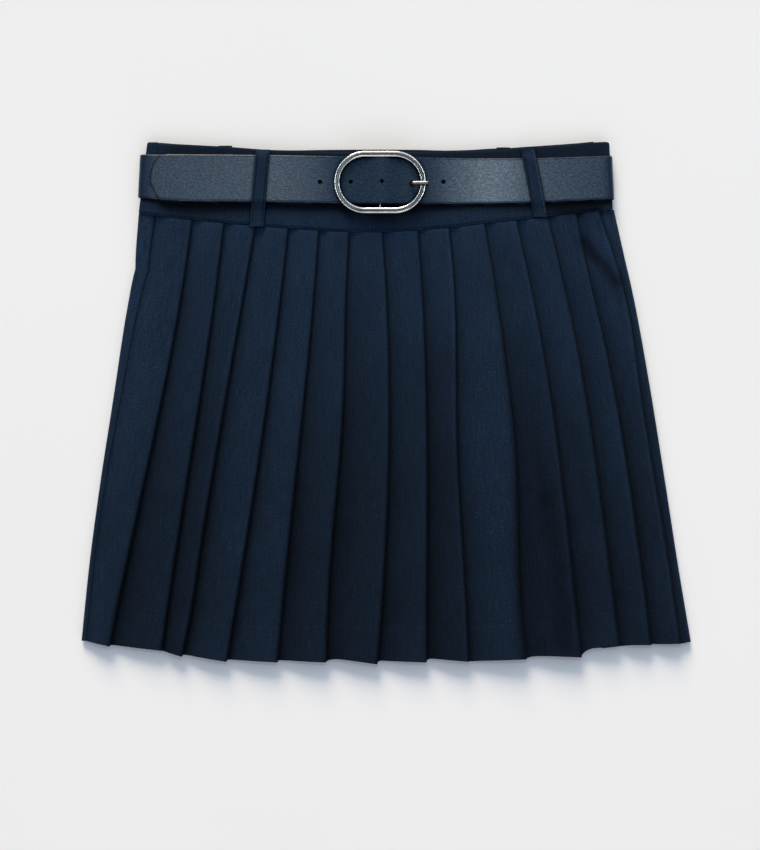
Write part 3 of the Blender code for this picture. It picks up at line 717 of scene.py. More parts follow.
def tone_before(look, off, down):
    """Painted shade and highlight: how much a face's colour is darkened close to its own fold's edge and
    lightened on the pressed rim just before it, at this distance before that edge.
    """
    roll = blend(1.1, look.roll, down)
    rim = look.rim * hump(off - roll - 1.0, 1.2)
    return (1 - blend(0.6, 0.75, down) * hump(off, roll)) * (1 + rim)


def right_border(down):
    y = blend(RIGHT_EDGE[-1].at, RIGHT_EDGE[0].at, down)
    return right_edge(y), y


def left_border(down):
    y = blend(LEFT_EDGE[-1].at, LEFT_EDGE[0].at, down)
    return left_edge(y), y


def border_line(x, y):
    return Line(x, y, x, y)


def front_lines(down):
    seam_y = waist_seam(LEFT_EDGE[-1].value + SIDE_SEAM_INSET[0].value)
    y = blend(seam_y, LEFT_EDGE[0].at, down)
    lines = [border_line(left_edge(y) + side_seam_inset(down), y)]
    for fold, x_at in zip(FRONT_FOLDS, FOLD_COURSES):
        lines.append(fold_line(x_at, waist_seam(fold.seam), fold.tip, fold.step, down))
    return lines + [border_line(*right_border(down))]


def right_wrap(down):
    y = blend(waist_seam(RIGHT_EDGE[-1].value - SIDE_TURN), RIGHT_EDGE[0].at, down)
    return right_border(down)[0] - SIDE_TURN, y


def left_wrap(down):
    border = front_lines(down)[0]
    return -(border.x - GAP), border.y


def back_lines(down):
    start_x, start_y = right_wrap(down)
    lines = [border_line(GAP - start_x, start_y)]
    for share in BACK_SHARES:

        def x_at(d, share=share):
            return -blend(right_border(d)[0], left_border(d)[0], share)

        tip = back_hem(-x_at(1.0))
        lines.append(fold_line(x_at, waist_seam(-x_at(0.0)), tip, tip + BACK_STEP, down))
    x, y = left_border(down)
    return lines + [border_line(-x, y)]


def side_points(last, edge, turn_end, side_level, look, down):
    """From the last fold to the panel's edge and round it to where its turn ends below."""
    points = []
    fall = fall_at(down)
    radius = (FRONT_BASE - BACK_FACE) / 2
    middle = edge.x - CLOTH / 2 - radius
    for share in np.linspace(0, 1, SIDE_POINTS):
        x = blend(last.under_x + FACE_START, middle - 0.4, share)
        y = blend(last.under_y, edge.y, share)
        shade = fall * tone_after(look, x - last.under_x, down)
        points.append((x, y, side_level, 0.0, SIDE_CROWN * math.sin(math.pi * share), shade))
    # Painted highlight where the edge turns over, brighter towards the hem, then painted light on the turn
    # below and painted shade at its end
    for angle in np.radians(range(0, 181, 20)):
        x = middle + radius * math.sin(angle)
        shade = fall * (1.15 + 0.7 * down ** 2 * math.sin(angle))
        points.append((x, edge.y, side_level, radius * (1 - math.cos(angle)), 0.0, shade))
    for share in (0.4, 0.8, 0.92, 1.0):
        x, y = blend(middle, turn_end[0], share), blend(edge.y, turn_end[1], share)
        shade = fall * (1.2 if share < 0.9 else 0.7)
        points.append((x, y, side_level, 2 * radius, 0.0, shade))
    return points


def pleated_row(lines, turn_end, side_level, looks, down):
    """One row across a panel. Each point is x, y, level, sink, lift and shade.

    Levels and sink are the solid's. Lift is how far the point stands up because the pleats hang
    open. Shade is painted light and shade on the cloth's colour: painted shade beside each fold,
    where the next face goes under it, and just before its edge, a painted highlight on its pressed rim,
    painted light that falls off down the skirt and each face's own painted lightness.
    """
    points = []
    level = side_level
    open_share = ease((down - 0.05) / 0.95)
    near_hem = down ** 25
    fall = fall_at(down)
    for k, (before, here, after) in enumerate(zip(lines, lines[1:], lines[2:])):
        look = looks[k]
        opening = look.opening * open_share
        # Painted light: each face's own painted lightness, and the painted light falling off down the
        # skirt
        face_tone = fall * blend(1.0, look.face, ease(down / 0.5))
        depth = min(UNDERLAY * (here.x - before.x), DEEPEST)
        slope = (here.y - before.under_y) / (here.x - before.under_x)
        next_slope = (after.y - here.under_y) / (after.x - here.under_x)
        inner = here.under_x - depth
        face_y = before.under_y + slope * (inner - before.under_x)
        inner_y = max(here.under_y - next_slope * depth, face_y + 0.9 * down)
        start = before.under_x + (FACE_START if k else 0.0)
        for n in range(FACE_POINTS):
            share = (1 - math.cos(math.pi * n / (FACE_POINTS - 1))) / 2
            x = blend(start, here.x - FOLD_REACH, share)
            rise = ease((x - start) / (here.x - depth - 1.0 - start))
            y = before.under_y + slope * (x - before.under_x)
            lift = opening * share ** 1.6 + FACE_CROWN * math.sin(math.pi * share)
            shade = face_tone * tone_before(look, here.x - x, down)
            if k:
                last_look, off = looks[k - 1], x - before.under_x
                shade *= tone_after(last_look, off, down)
                settling = (before.under_y - before.y) * math.exp(-off / last_look.settle)
                y += near_hem * (last_look.bow * math.sin(math.pi * share ** 0.6) - settling)
            else:
                # Painted shade along the side seam, beside the first face
                shade *= 1 - 0.45 * math.exp(-(x - start) / 1.2)
            points.append((x, y, blend(level, 2.0, rise), 0.0, lift, shade))
        for angle in np.radians(EDGE_ANGLES):
            over = (1 + math.sin(angle)) / 2
            x = blend(here.under_x, here.x, over) - FOLD_REACH * (1 - math.cos(angle))
            y = blend(here.under_y, here.y, over)
            lift = opening * blend(0.4, 1.0, over)
            points.append((x, y, 1.5 + 0.5 * math.sin(angle), 0.0, lift, fall * EDGE_TONE))
        middle_y = blend(here.under_y, inner_y, 0.5)
        points.append((here.under_x - depth / 2, middle_y, 1.0, 0.0, opening * 0.2, HIDDEN_TONE))
        for angle in np.radians(INNER_ANGLES):
            x = inner + FOLD_REACH * (1 - math.cos(angle))
            points.append((x, inner_y, 0.5 + 0.5 * math.sin(angle), 0.0, 0.0, HIDDEN_TONE))
        level = 0.0
    return points + side_points(*lines[-2:], turn_end, side_level, looks[-1], down)


def loop_lean(place):
    """x of a front loop's middle at each y."""
    top_y = band_edge(place.top_x)
    return lambda y: blend(place.top_x, place.bottom_x, (top_y - y) / (top_y - place.bottom_y))


def loop_shadow(x, y):
    """Painted shadow: how much the cloth's colour is darkened close to the front loops."""
    tone = np.ones_like(x)
    for place in FRONT_LOOPS:
        beside = np.abs(x - loop_lean(place)(y)) - LOOP_WIDTH / 2
        off = np.maximum(np.maximum(beside, place.bottom_y - y), 0.0)
        tone *= 1 - 0.65 * hump(off, 1.3)
    return tone


def ring_shadow(x, y):
    """Painted shadow: how much the cloth's colour is darkened below the buckle."""
    straight, reach = (RING_LENGTH - RING_WIDTH) / 2, RING_WIDTH / 2
    past = np.clip(np.abs(x - RING_MIDDLE[0]) - straight, 0.0, reach)
    below = RING_MIDDLE[1] - np.sqrt(reach ** 2 - past ** 2) - y
    return 1 - 0.65 * (below > -8.0) * (past < reach) * soft_step(below - 6.0, 1.4)


def belt_shadow(x, y):
    """Painted shadow: how much the cloth's colour is darkened in the belt's shadow, below its lower edge.
    """
    below = np.vectorize(belt_lower)(x) - y
    reach = shadow_reach(x)
    lit = 0.03 + 0.97 * soft_step(reach - below, 0.27 * reach)
    return np.where(below > 0, lit, 1.0)


def crease_height(x, y):
    """Height of the soft creases at a place, for whole arrays of places."""
    height = np.zeros_like(x)
    for crease in CREASES:
        nearest = np.full_like(x, np.inf)
        for (a_x, a_y), (b_x, b_y) in zip(crease.course, crease.course[1:]):
            run_x, run_y = b_x - a_x, b_y - a_y
            share = ((x - a_x) * run_x + (y - a_y) * run_y) / (run_x ** 2 + run_y ** 2)
            inside = np.clip(share, 0.0, 1.0)
            off_x, off_y = x - a_x - inside * run_x, y - a_y - inside * run_y
            nearest = np.minimum(nearest, off_x ** 2 + off_y ** 2)
        height += crease.height * np.exp(-nearest / (2 * crease.width ** 2))
    return height


def undulation(x, y):
    """The cloth's long, low waves."""
    return sum(wave.height * np.sin(x / wave.across + y / wave.down + wave.start) for wave in WAVES)


def panel_downs(rows):
    """Rows from the seam to the hem, close together at both and where the hem is turned up."""
    close = [1 - (HEM_TURN + off) / PANEL_LENGTH for off in TURN_ROWS]
    close += [off / PANEL_LENGTH for off in SEAM_ROWS]
    close += [1 - off / PANEL_LENGTH for off in HEM_ROWS]
    return np.unique(np.concatenate([np.linspace(0.0, 1.0, rows - len(close)), close]))


def pleated_panel(name, lines_at, turn_end_at, side_level, base, up, rows, looks):
    """A panel in the manner of its solid, with many more rows and columns."""
    downs = panel_downs(rows)
    grid = [pleated_row(lines_at(d), turn_end_at(d), side_level, looks, d) for d in downs]
    x, y, level, sink, lift, shade = np.moveaxis(np.array(grid), 2, 0)
    down = downs[:, None]
    below_seam, above_hem = down * PANEL_LENGTH, (1 - down) * PANEL_LENGTH
    z = base + up * (level * PITCH - sink + (lift if up > 0 else 0.0))
    x, y = up * x, y - GAP / 2 * (1 - down)
    if up < 0:
        y = y + np.where(sink > 3.0, 1.3 * np.exp(-below_seam / 1.2), 0.0)
        z = z + np.where(sink > 3.0, 1.6 * np.exp(-below_seam / 40.0), 0.0)
    else:
        upper = np.clip(1 - sink / 3.0, 0.0, 1.0)
        creases = crease_height(x, y)
        doubled = soft_step(above_hem - HEM_TURN, 0.5)
        groove = hump(above_hem - HEM_TURN, 0.9)
        z = z + upper * (creases + undulation(x, y) * np.clip(down * 8, 0.1, 1.0))
        z = z + upper * (0.22 * doubled - 0.12 * groove + 0.3 * np.exp(-below_seam / 6.0))
        # Painted shadows of the ring, the belt and the loops, painted shade in the creases' troughs and a
        # little painted light on their ridges, painted light close below the seam and painted shade along
        # the hem's turn
        shade = shade * ring_shadow(x, y) * belt_shadow(x, y) * loop_shadow(x, y)
        shade = shade * np.exp(0.75 * np.minimum(creases, 0.0) + 0.06 * np.maximum(creases, 0.0))
        shade = shade * (1 + 0.35 * np.exp(-below_seam / 3.0)) * (1 - 0.1 * groove)
    middle = np.stack([x, y, z], axis=2)
    if up < 0:
        middle, shade = middle[:, ::-1], shade[:, ::-1]
    return wall(name, middle, CLOTH / 2, CLOTH_FINISH, shade)


front_cloth = pleated_panel(
    "front_cloth", front_lines, right_wrap, 0.0, FRONT_BASE, 1, FRONT_ROWS, FOLD_LOOKS
)
back_cloth = pleated_panel(
    "back_cloth", back_lines, left_wrap, 2.0, BACK_FACE + 2 * PITCH, -1, BACK_ROWS,
    [BACK_LOOK] * len(BACK_SHARES)
)
cloth_piece(front_cloth, "front_panel")
cloth_piece(back_cloth, "back_panel")


# ---------------------------------------------------------------- waistband

BAND_ACROSS, BAND_DOWN = 240, 26
BAND_WIDTH = 60.0
BAND_STITCH_ROW = 1.8  # above the band's lower edge
CORNER_DROP = 1.6  # how far the band's top drops to its corner at the right


def band_row(share, front):
    """One row round a half of the band, at a share of the way from its top edge to the seam."""
    left = blend(BAND_LEFT_TOP, BAND_LEFT_SEAM, share)
    right = blend(BAND_RIGHT_TOP, BAND_RIGHT_SEAM, share)
    radius = (BAND_FRONT - BAND_BACK) / 2
    if front:
        start, end, side, level, way = BAND_SIDE_SEAM, right - SIDE_TURN, right, BAND_FRONT, 1
    else:
        start, end, side, level, way = right - SIDE_TURN - GAP, BAND_SIDE_SEAM - GAP, left, BAND_BACK, -1
    turn = side - way * (BAND / 2 + radius)
    path = [(blend(start, turn, k / BAND_ACROSS), level) for k in range(BAND_ACROSS)]
    for angle in np.radians(range(0, 181, 15)):
        path.append((turn + way * radius * math.sin(angle), level - way * radius * (1 - math.cos(angle))))
    path.append((end, level - way * 2 * radius))
    row = []
    for x, z in path:
        place = min(max(x, BAND_BACK_RISE[0].at), BAND_BACK_RISE[-1].at)
        top = band_edge(x) + (0.0 if front else back_rise(place))
        top -= CORNER_DROP * math.exp(min(x - BAND_RIGHT_TOP, 0.0) / 1.1)
        row.append((x, blend(top, waist_seam(x) + GAP / 2, share), z))
    return row if front else row[::-1]


def waistband(name, front):
    shares = shares_across((0.0, 0.008, 0.03), 0.06, BAND_DOWN)
    middle = np.array([band_row(share, front) for share in shares[:, 0]])
    x, y = middle[..., 0], middle[..., 1]
    half = BAND / 2 * rounded_off(np.minimum(shares, 1 - shares) * BAND_WIDTH, 1.2, 0.03)
    if front:
        middle[..., 2] += 0.15 * np.sin(x / 23.0 + 0.5) * np.sin(y / 14.0)
        half = half - 0.12 * hump((1 - shares) * BAND_WIDTH - BAND_STITCH_ROW, 0.7)
    return wall(name, middle, half, CLOTH_FINISH, band_tone(x, y))


def band_tone(x, y):
    """The band's colour is darkened over the belt's upper edge, and carries painted shadows of the belt
    below its lower edge, of the ring and of the loops.
    """
    above = y - np.vectorize(belt_upper)(x)
    over_belt = 1 - 0.45 * soft_step(-above, 0.5) * np.clip((182 - np.abs(x)) / 15, 0.2, 1)
    return over_belt * belt_shadow(x, y) * ring_shadow(x, y) * loop_shadow(x, y)


waistband_front = waistband("waistband_front_cloth", True)
waistband_back = waistband("waistband_back_cloth", False)
cloth_piece(waistband_front, "waistband_front")
cloth_piece(waistband_back, "waistband_back")


# ---------------------------------------------------------------- belt

STRAP_WIDTH = 36.0
HOLE_COUNT = 5
CATCH_END = -40.9  # the strap's cut edge catches the light from its tip to here
RUMPLED_SHEEN_REACH = 33.0  # from the ring's middle
BELT_ATTRIBUTES = ("grain", "shade", "edge", "gloss", "rumpled_painted_sheen")


def back_run_level(x):
    """The strap's middle on the back: on the surface, rising over each belt loop."""
    rise = 0.0
    for _, loop_x in BACK_LOOPS:
        off = abs(x - loop_x) - LOOP_WIDTH / 2 - 1.0
        rise = max(rise, 1 - ease(off / 9.0))
    return BELT_BACK + LOOP_BUMP * rise


def run(level_at, start, end, steps, on_top=False):
    places = [blend(start, end, k / steps) for k in range(steps + 1)]
    return [StrapPoint(x, level_at(x), on_top) for x in places]


def half_turn(middle_x, middle_z, radius, side, start):
    points = []
    for angle in np.radians(range(0, 181, 10)):
        x, z = middle_x + side * radius * math.sin(angle), middle_z + start * radius * math.cos(angle)
        points.append(StrapPoint(x, z, False))
    return points


def strap_path():
    """The strap's middle from its sewn end, round the bar, round the waist, to its tip."""
    bar_x = RING_MIDDLE[0]
    radius = (BELT_FRONT - BELT_BACK) / 2
    turn_level = BELT_BACK + radius
    path = run(lambda x: RETURN_LEVEL, bar_x - RETURN_LENGTH, bar_x - RETURN_LENGTH / 4, 4)
    path += half_turn(bar_x, BAR_LEVEL, WRAP_RADIUS, 1, -1)
    path += run(under_layer, UNDER_LAYER[-1].at, UNDER_LAYER[0].at, 26)
    path += run(lambda x: BELT_FRONT, -64.0, -180.0, 24)
    path += half_turn(BELT_LEFT + STRAP / 2 + radius, turn_level, radius, -1, 1)
    path += run(back_run_level, -184.0, 168.0, 90)
    path += half_turn(BELT_RIGHT - STRAP / 2 - radius, turn_level, radius, 1, -1)
    path += run(lambda x: BELT_FRONT, 168.0, 75.0, 24)
    path += run(top_layer, TOP_LAYER[-1].at, TOP_LAYER[0].at, 65, True)
    path += run(lambda x: BELT_TIP, -64.0, -172.0, 27, True)
    start, end = TIP_UPPER[-1].at, TIP_UPPER[0].at
    for degrees in range(90, -1, -6):
        x = end + (start - end) * (1 - math.cos(math.radians(degrees)))
        path.append(StrapPoint(x, BELT_TIP, True))
    return path


def strap_point(point, share):
    upper, lower = belt_upper(point.x), belt_lower(point.x)
    if point.on_top:
        y = blend(min(upper, tip_upper(point.x)), max(lower, tip_lower(point.x)), share)
        return point.x, y, point.z
    y = blend(upper, lower, share)
    grown = ease((abs(point.x) - LEAN_START) / (LEAN_FULL - LEAN_START))
    lean = BELT_LEAN * (LEAN_ROW - y) * grown
    return point.x + (lean if point.x > 0 else -lean), y, point.z


def cut(obj, cutter):
    change = obj.modifiers.new("Cut", "BOOLEAN")
    change.operation = "DIFFERENCE"
    change.solver = "EXACT"
    change.object = cutter
    with bpy.context.temp_override(object=obj, active_object=obj, selected_objects=[obj]):
        bpy.ops.object.modifier_apply(modifier=change.name)
    bpy.data.objects.remove(cutter)


def kept_attributes(obj):
    """The places of a mesh's points and what its attributes hold there."""
    places = [point.co.copy() for point in obj.data.vertices]
    held = {}
    for found in obj.data.attributes:
        if found.name in BELT_ATTRIBUTES:
            width = 3 if found.data_type == "FLOAT_VECTOR" else 1
            values = np.zeros(len(places) * width, dtype=np.float32)
            found.data.foreach_get(attribute_key(found), values)
            held[found.name] = values.reshape(-1, width)
    return places, held


def restore_attributes(obj, kept):
    """Give the points that a cut has made what the nearest old point held."""
    places, held = kept
    tree = KDTree(len(places))
    for index, place in enumerate(places):
        tree.insert(place, index)
    tree.balance()
    nearest = [tree.find(point.co)[1] for point in obj.data.vertices]
    for name, values in held.items():
        found = obj.data.attributes[name]
        found.data.foreach_set(attribute_key(found), values[nearest].ravel())


def hole_cutter(k):
    """A punch through the strap's top layer alone, with a worn rim. The prong stretches its hole."""
    x = HOLE_FIRST + HOLE_SPACING * k
    reach, surface = (STRAP + GAP) / 2, STRAP / 2
    radius, rim = HOLE / 2, HOLE / 2 + HOLE_RIM
    rings = ((-reach, radius), (surface - HOLE_RIM_DEPTH, radius), (surface, rim), (surface + 0.4, rim))
    points = [(size * u, -size * v, up) for up, size in rings for u, v in circle(HOLE_SIDES)]
    cutter = add_mesh("punch", points, tube_faces(len(rings), HOLE_SIDES), LEATHER_FINISH)
    cutter.location = (x * MM, HOLE_ROW * MM, top_layer(x) * MM)
    cutter.rotation_euler = (0.0, -math.atan((top_layer(x + 1) - top_layer(x - 1)) / 2), 0.0)
    if k == PRONG_HOLE:
        cutter.scale = (1.05, 1.0, 1.0)
        cutter.location.x -= 0.5 * MM
        cutter.location.y = (PRONG_ROW + 0.2) * MM
    return cutter


def slot_cutter():
    bpy.ops.mesh.primitive_cube_add(size=1)
    cutter = bpy.context.object
    top = BAR_LEVEL + WRAP_RADIUS + STRAP / 2 + GAP / 2
    low = RETURN_LEVEL - STRAP / 2 - GAP
    cutter.scale = (SLOT_LENGTH * MM, PRONG_SLOT * MM, (top - low) * MM)
    cutter.location = (RING_MIDDLE[0] * MM, PRONG_ROW * MM, (top + low) / 2 * MM)
    return cutter


def belt_strap():
    path = strap_path()
    shares = shares_across((0.0, 0.006, 0.02, 0.05), 0.1, 9)
    middle = np.array([[strap_point(point, share) for point in path] for share in shares[:, 0]])
    near_edge = np.minimum(shares, 1 - shares) * STRAP_WIDTH
    half = STRAP / 2 * rounded_off(near_edge, 0.9, 0.18)
    obj = wall("belt_leather", middle, half, LEATHER_FINISH)
    x = middle[..., 0]
    edge = np.clip(1.3 - near_edge / 0.55, 0.0, 1.0) * np.ones(x.shape)
    edge[:, -2:] = 1.0
    catching = (x > TIP_UPPER[-1].at) & (x < CATCH_END)
    gloss = 0.5 * gloss_at(x) * (1 - np.where(catching, 0.75, 0.93) * edge)
    # Where the strap's colour is made lighter as a painted sheen, inside the ring
    rumpled_painted_sheen = 0.85 * soft_step(np.abs(x - RING_MIDDLE[0]) - RUMPLED_SHEEN_REACH, 1.5)
    for name, values in (("edge", edge), ("gloss", gloss), ("rumpled_painted_sheen", rumpled_painted_sheen)):
        add_attribute(obj, name, "FLOAT", np.concatenate([values, values]))
    kept = kept_attributes(obj)
    for k in range(HOLE_COUNT):
        cut(obj, hole_cutter(k))
    cut(obj, slot_cutter())
    restore_attributes(obj, kept)
    obj.data.set_sharp_from_angle(angle=SHARP)
    return obj


belt_leather = belt_strap()
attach(belt_leather, "root")
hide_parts("belt_strap")


# ---------------------------------------------------------------- belt loops

def loop_strip(name, path, x_at):
    """A narrow folded strip along path, (y, z) points, with its middle at x_at(y)."""
    dense = []
    for (y, z), (next_y, next_z) in zip(path, path[1:]):
        steps = max(1, int(math.hypot(next_y - y, next_z - z) / 1.2))
        dense += [(blend(y, next_y, k / steps), blend(z, next_z, k / steps)) for k in range(steps)]
    dense.append(path[-1])
    smooth = smoothed(dense, 2)
    across = np.array([-1.0, -0.97, -0.9, -0.72, -0.4, 0.0, 0.4, 0.72, 0.9, 0.97, 1.0])
    thick = np.array([0.3, 0.75, 0.95, 0.86, 1.0, 1.0, 1.0, 0.86, 0.95, 0.75, 0.3])
    middle = [[(x_at(y) + side * LOOP_WIDTH / 2, y, z) for side in across] for y, z in smooth]
    return wall(name, middle, LOOP / 2 * thick, CLOTH_FINISH)


def front_loop_path(place):
    top_y = band_edge(place.top_x)
    over = place.belt_top + GAP + LOOP / 2 + 0.1
    low = BAND_FRONT + BAND / 2 + GAP + LOOP / 2
    upper, lower = belt_upper(place.top_x), belt_lower(place.bottom_x)
    rise = over - low
    return [
        (top_y - 0.2, low),
        (top_y - 1.2, low + 0.1),
        (upper + 1.9, low + 0.45 * rise),
        (upper + 1.0, over - 0.3),
        (upper - 0.6, over),
        (blend(upper, lower, 0.5), over),
        (lower + 0.6, over),
        (lower - 1.1, over - 0.3),
        (lower - 2.4, low + 0.45 * rise),
        (lower - 4.6, low + 0.1),
        (lower - 6.4, low),
        (place.bottom_y, low),
    ]


def back_loop_path(x):
    top_y = band_edge(x) + back_rise(x)
    sewn = BAND_BACK - BAND / 2 - GAP - LOOP / 2
    upper, lower = belt_upper(x), belt_lower(x)
    return [
        (top_y + 0.2, BAND_BACK + 0.9),
        (top_y + 0.3, sewn + 0.9),
        (top_y + 0.1, sewn - 0.05),
        (top_y - 1.2, sewn - 0.2),
        (upper + 1.2, LOOP / 2 + 0.1),
        (upper - 0.4, LOOP / 2),
        (lower + 0.4, LOOP / 2),
        (lower - 1.4, LOOP / 2 + 0.1),
        (lower - 4.0, sewn - 0.4),
        (lower - 5.5, sewn),
        (waist_seam(x) + 1.5, sewn),
    ]


for place in FRONT_LOOPS:
    strip = loop_strip(place.name + "_cloth", front_loop_path(place), loop_lean(place))
    cloth_piece(strip, place.name)
for loop_name, loop_x in BACK_LOOPS:
    strip = loop_strip(loop_name + "_cloth", back_loop_path(loop_x), lambda y, x=loop_x: x)
    cloth_piece(strip, loop_name)


# ---------------------------------------------------------------- stitching

STITCH = 1.3
STITCH_PITCH = 2.3
STITCH_START = 0.4
STITCH_RINGS = ((0, 0.35), (0.25, 0.9), (0.5, 1), (0.75, 0.9), (1, 0.35))  # share of its length, size
STITCH_SIDES = 6
THREAD = 0.36
LOOP_STITCH_ROW = 3.9  # from a loop's middle to the rows along its edges


def stitches(name, runs, thread, parent=None):
    """Rows of short raised stitches. Each run is a list of points along its seam."""
    points, faces = [], []
    for line in runs:
        line = np.asarray(line, dtype=float)
        lengths = np.concatenate([[0.0], np.cumsum(np.linalg.norm(np.diff(line, axis=0), axis=1))])
        for k in range(int(lengths[-1] / STITCH_PITCH)):
            start = k * STITCH_PITCH + STITCH_START
            ends = (start, start + STITCH)
            a, b = (np.array([np.interp(e, lengths, line[:, i]) for i in range(3)]) for e in ends)
            along = unit(b - a)
            side = unit(np.cross(along, (0.0, 0.0, 1.0)))
            up = np.cross(side, along)
            faces += tube_faces(len(STITCH_RINGS), STITCH_SIDES, len(points))
            for share, size in STITCH_RINGS:
                middle = blend(a, b, share) + up * THREAD * (size - 0.6)
                for u, v in circle(STITCH_SIDES):
                    points.append(middle + (side * u + up * v) * THREAD * size)
    obj = add_mesh(name, points, faces, thread)
    obj.parent = parent
    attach(obj, "root")


def band_stitch_run():
    """One row along the band's lower edge, over its side seam and round to the left outline."""
    level = BAND_FRONT + BAND / 2
    return [(x, waist_seam(x) + GAP / 2 + BAND_STITCH_ROW, level) for x in np.linspace(-191, 172, 120)]


def front_loop_runs(place):
    """Two rows down the loop's edges and one across it near its top."""
    path = front_loop_path(place)
    x_at = loop_lean(place)
    ys = np.linspace(path[0][0] - 2.0, path[-1][0] + 1.5, 60)
    order = sorted(path)
    zs = np.interp(ys, [p[0] for p in order], [p[1] for p in order]) + LOOP / 2 - 0.05
    runs = [[(x_at(y) + off, y, z) for y, z in zip(ys, zs)] for off in (-LOOP_STITCH_ROW, LOOP_STITCH_ROW)]
    top_y, top_z = path[0][0] - 1.6, path[0][1] + LOOP / 2
    runs.append([(place.top_x + dx, top_y, top_z) for dx in (-4.2, 0.0, 4.2)])
    return runs


stitches("waistband_topstitch", [band_stitch_run()], PAINTED_SHADE_THREAD, waistband_front)
# The left loop's rows and the right loop's left row take the thread with painted shade, the right loop's
# right row the one with painted light
for place, right_thread in zip(FRONT_LOOPS, (PAINTED_SHADE_THREAD, PAINTED_LIGHT_THREAD)):
    left_run, right_run, top_run = front_loop_runs(place)
    stitches(place.name + "_stitches_left", [left_run, top_run], PAINTED_SHADE_THREAD)
    stitches(place.name + "_stitches_right", [right_run], right_thread)


# ---------------------------------------------------------------- buckle

def swept(name, path, profile_at, level, closed=False):
    """A metal loft along a path. profile_at(k) gives (side, up, tone) points round it; the tone is
    painted light and shade on the metal's colour.
    """
    path = np.asarray(path, dtype=float)
    if closed:
        along = unit(np.roll(path, -1, axis=0) - np.roll(path, 1, axis=0))
    else:
        along = unit(np.gradient(path, axis=0))
    side = unit(np.cross(along, level))
    up = np.cross(side, along)
    profiles = [profile_at(k) for k in range(len(path))]
    points = [place + side[k] * u + up[k] * v for k, place in enumerate(path) for u, v, _ in profiles[k]]
    tones = [tone for profile in profiles for _, _, tone in profile]
    obj = add_mesh(name, points, tube_faces(len(path), len(profiles[0]), closed=closed), METAL_FINISH)
    add_attribute(obj, "shade", "FLOAT", tones)
    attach(obj, "root")
    return obj


def stadium_point(half_length, half_width, angle, end):
    straight = half_length - half_width
    return end * straight + half_width * math.cos(angle), half_width * math.sin(angle)


# Each end's groove_tone is painted shade in the groove, darker at the right end
RING_ENDS = (RingEnd(1, -90, 0.04), RingEnd(-1, 90, 0.13))
ARC_STEPS = 72


def ring_turns():
    """Round the ring's right end and then its left end: which end, and the angle there."""
    for end in RING_ENDS:
        for k in range(ARC_STEPS + 1):
            yield end, math.radians(end.first_degrees + 180 * k / ARC_STEPS)


def ring_path():
    half_length, half_width = (RING_LENGTH - RING_BAND) / 2, (RING_WIDTH - RING_BAND) / 2
    points = []
    for end, angle in ring_turns():
        x, y = stadium_point(half_length, half_width, angle, end.way)
        points.append((RING_MIDDLE[0] + x, RING_MIDDLE[1] + y, RING_BOTTOM + RING_HEIGHT / 2))
    return points


RIDGE = 0.95
GROOVE = 0.65  # half the groove's width
# Painted shade on the ring's flanks, standing in for the dark belt and cloth that they reflect
FLANK_TONE = 0.1


def ring_section(angle, end_tone):
    """Flat below with two rounded ridges above and a groove between them: side, up and tone.

    The tone is painted on the metal's colour: painted shade on the flanks and in the groove, for the
    dark things that they reflect, and a painted highlight on each ridge. On the straight sides the
    painted highlight on the ridge towards the waist is wider and brighter, and at the ends, where the
    groove has end_tone, the outer ridge has the brighter painted highlight.
    """
    half, height = RING_BAND / 2, RING_HEIGHT / 2
    ridge_middle = (half + GROOVE) / 2
    reach = (half - GROOVE) / 2
    turned, waist_side = abs(math.cos(angle)), math.sin(angle)
    groove_tone = blend(0.06, end_tone, turned)
    halves = []
    for way in (1, -1):
        lit_side = way * waist_side
        middle = 90.0 + 15.0 * lit_side
        bright = blend(42.0, 30.0, turned) + 10.0 * lit_side
        fade = blend(14.0, 24.0, turned)
        ridge_tone = blend(0.84 + 0.08 * lit_side, 0.86 + 0.12 * way, turned)
        profile = [(half - 0.4, -height, FLANK_TONE), (half, -height + 0.4, FLANK_TONE),
                   (half, height - 1.3, FLANK_TONE)]
        for degrees in range(0, 181, 10):
            lit = ease((bright + fade - abs(degrees - middle)) / (2 * fade))
            tone = blend(FLANK_TONE if degrees < middle else groove_tone, ridge_tone, lit)
            u = ridge_middle + reach * math.cos(math.radians(degrees))
            v = height - RIDGE + RIDGE * math.sin(math.radians(degrees))
            profile.append((u, v, tone))
        profile.append((GROOVE * 0.8, height - 1.15, groove_tone))
        halves.append(profile)
    return halves[0] + [(-u, v, tone) for u, v, tone in reversed(halves[1])]


def bar_end(side):
    """The bar's path from the ring's underside down to its own level, at one side."""
    x, y = RING_MIDDLE
    reach = (RING_WIDTH - RING_BAND) / 2
    return [
        (x, y + side * reach, RING_BOTTOM + RING_HEIGHT / 2),
        (x, y + side * (reach - 0.15), BAR_LEVEL + 1.2),
        (x, y + side * (reach - 0.9), BAR_LEVEL + 0.25),
        (x, y + side * (reach - 2.0), BAR_LEVEL),
    ]


def buckle():
    sections = [ring_section(angle, end.groove_tone) for end, angle in ring_turns()]
    ring = swept("buckle_ring", ring_path(), lambda k: sections[k], (0, 0, 1), closed=True)
    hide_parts("buckle_frame")
    round_bar = [(BAR_RADIUS * u, BAR_RADIUS * v, 1.0) for u, v in circle(16)]
    swept("buckle_bar", bar_end(-1) + bar_end(1)[::-1], lambda k: round_bar, (1, 0, 0))


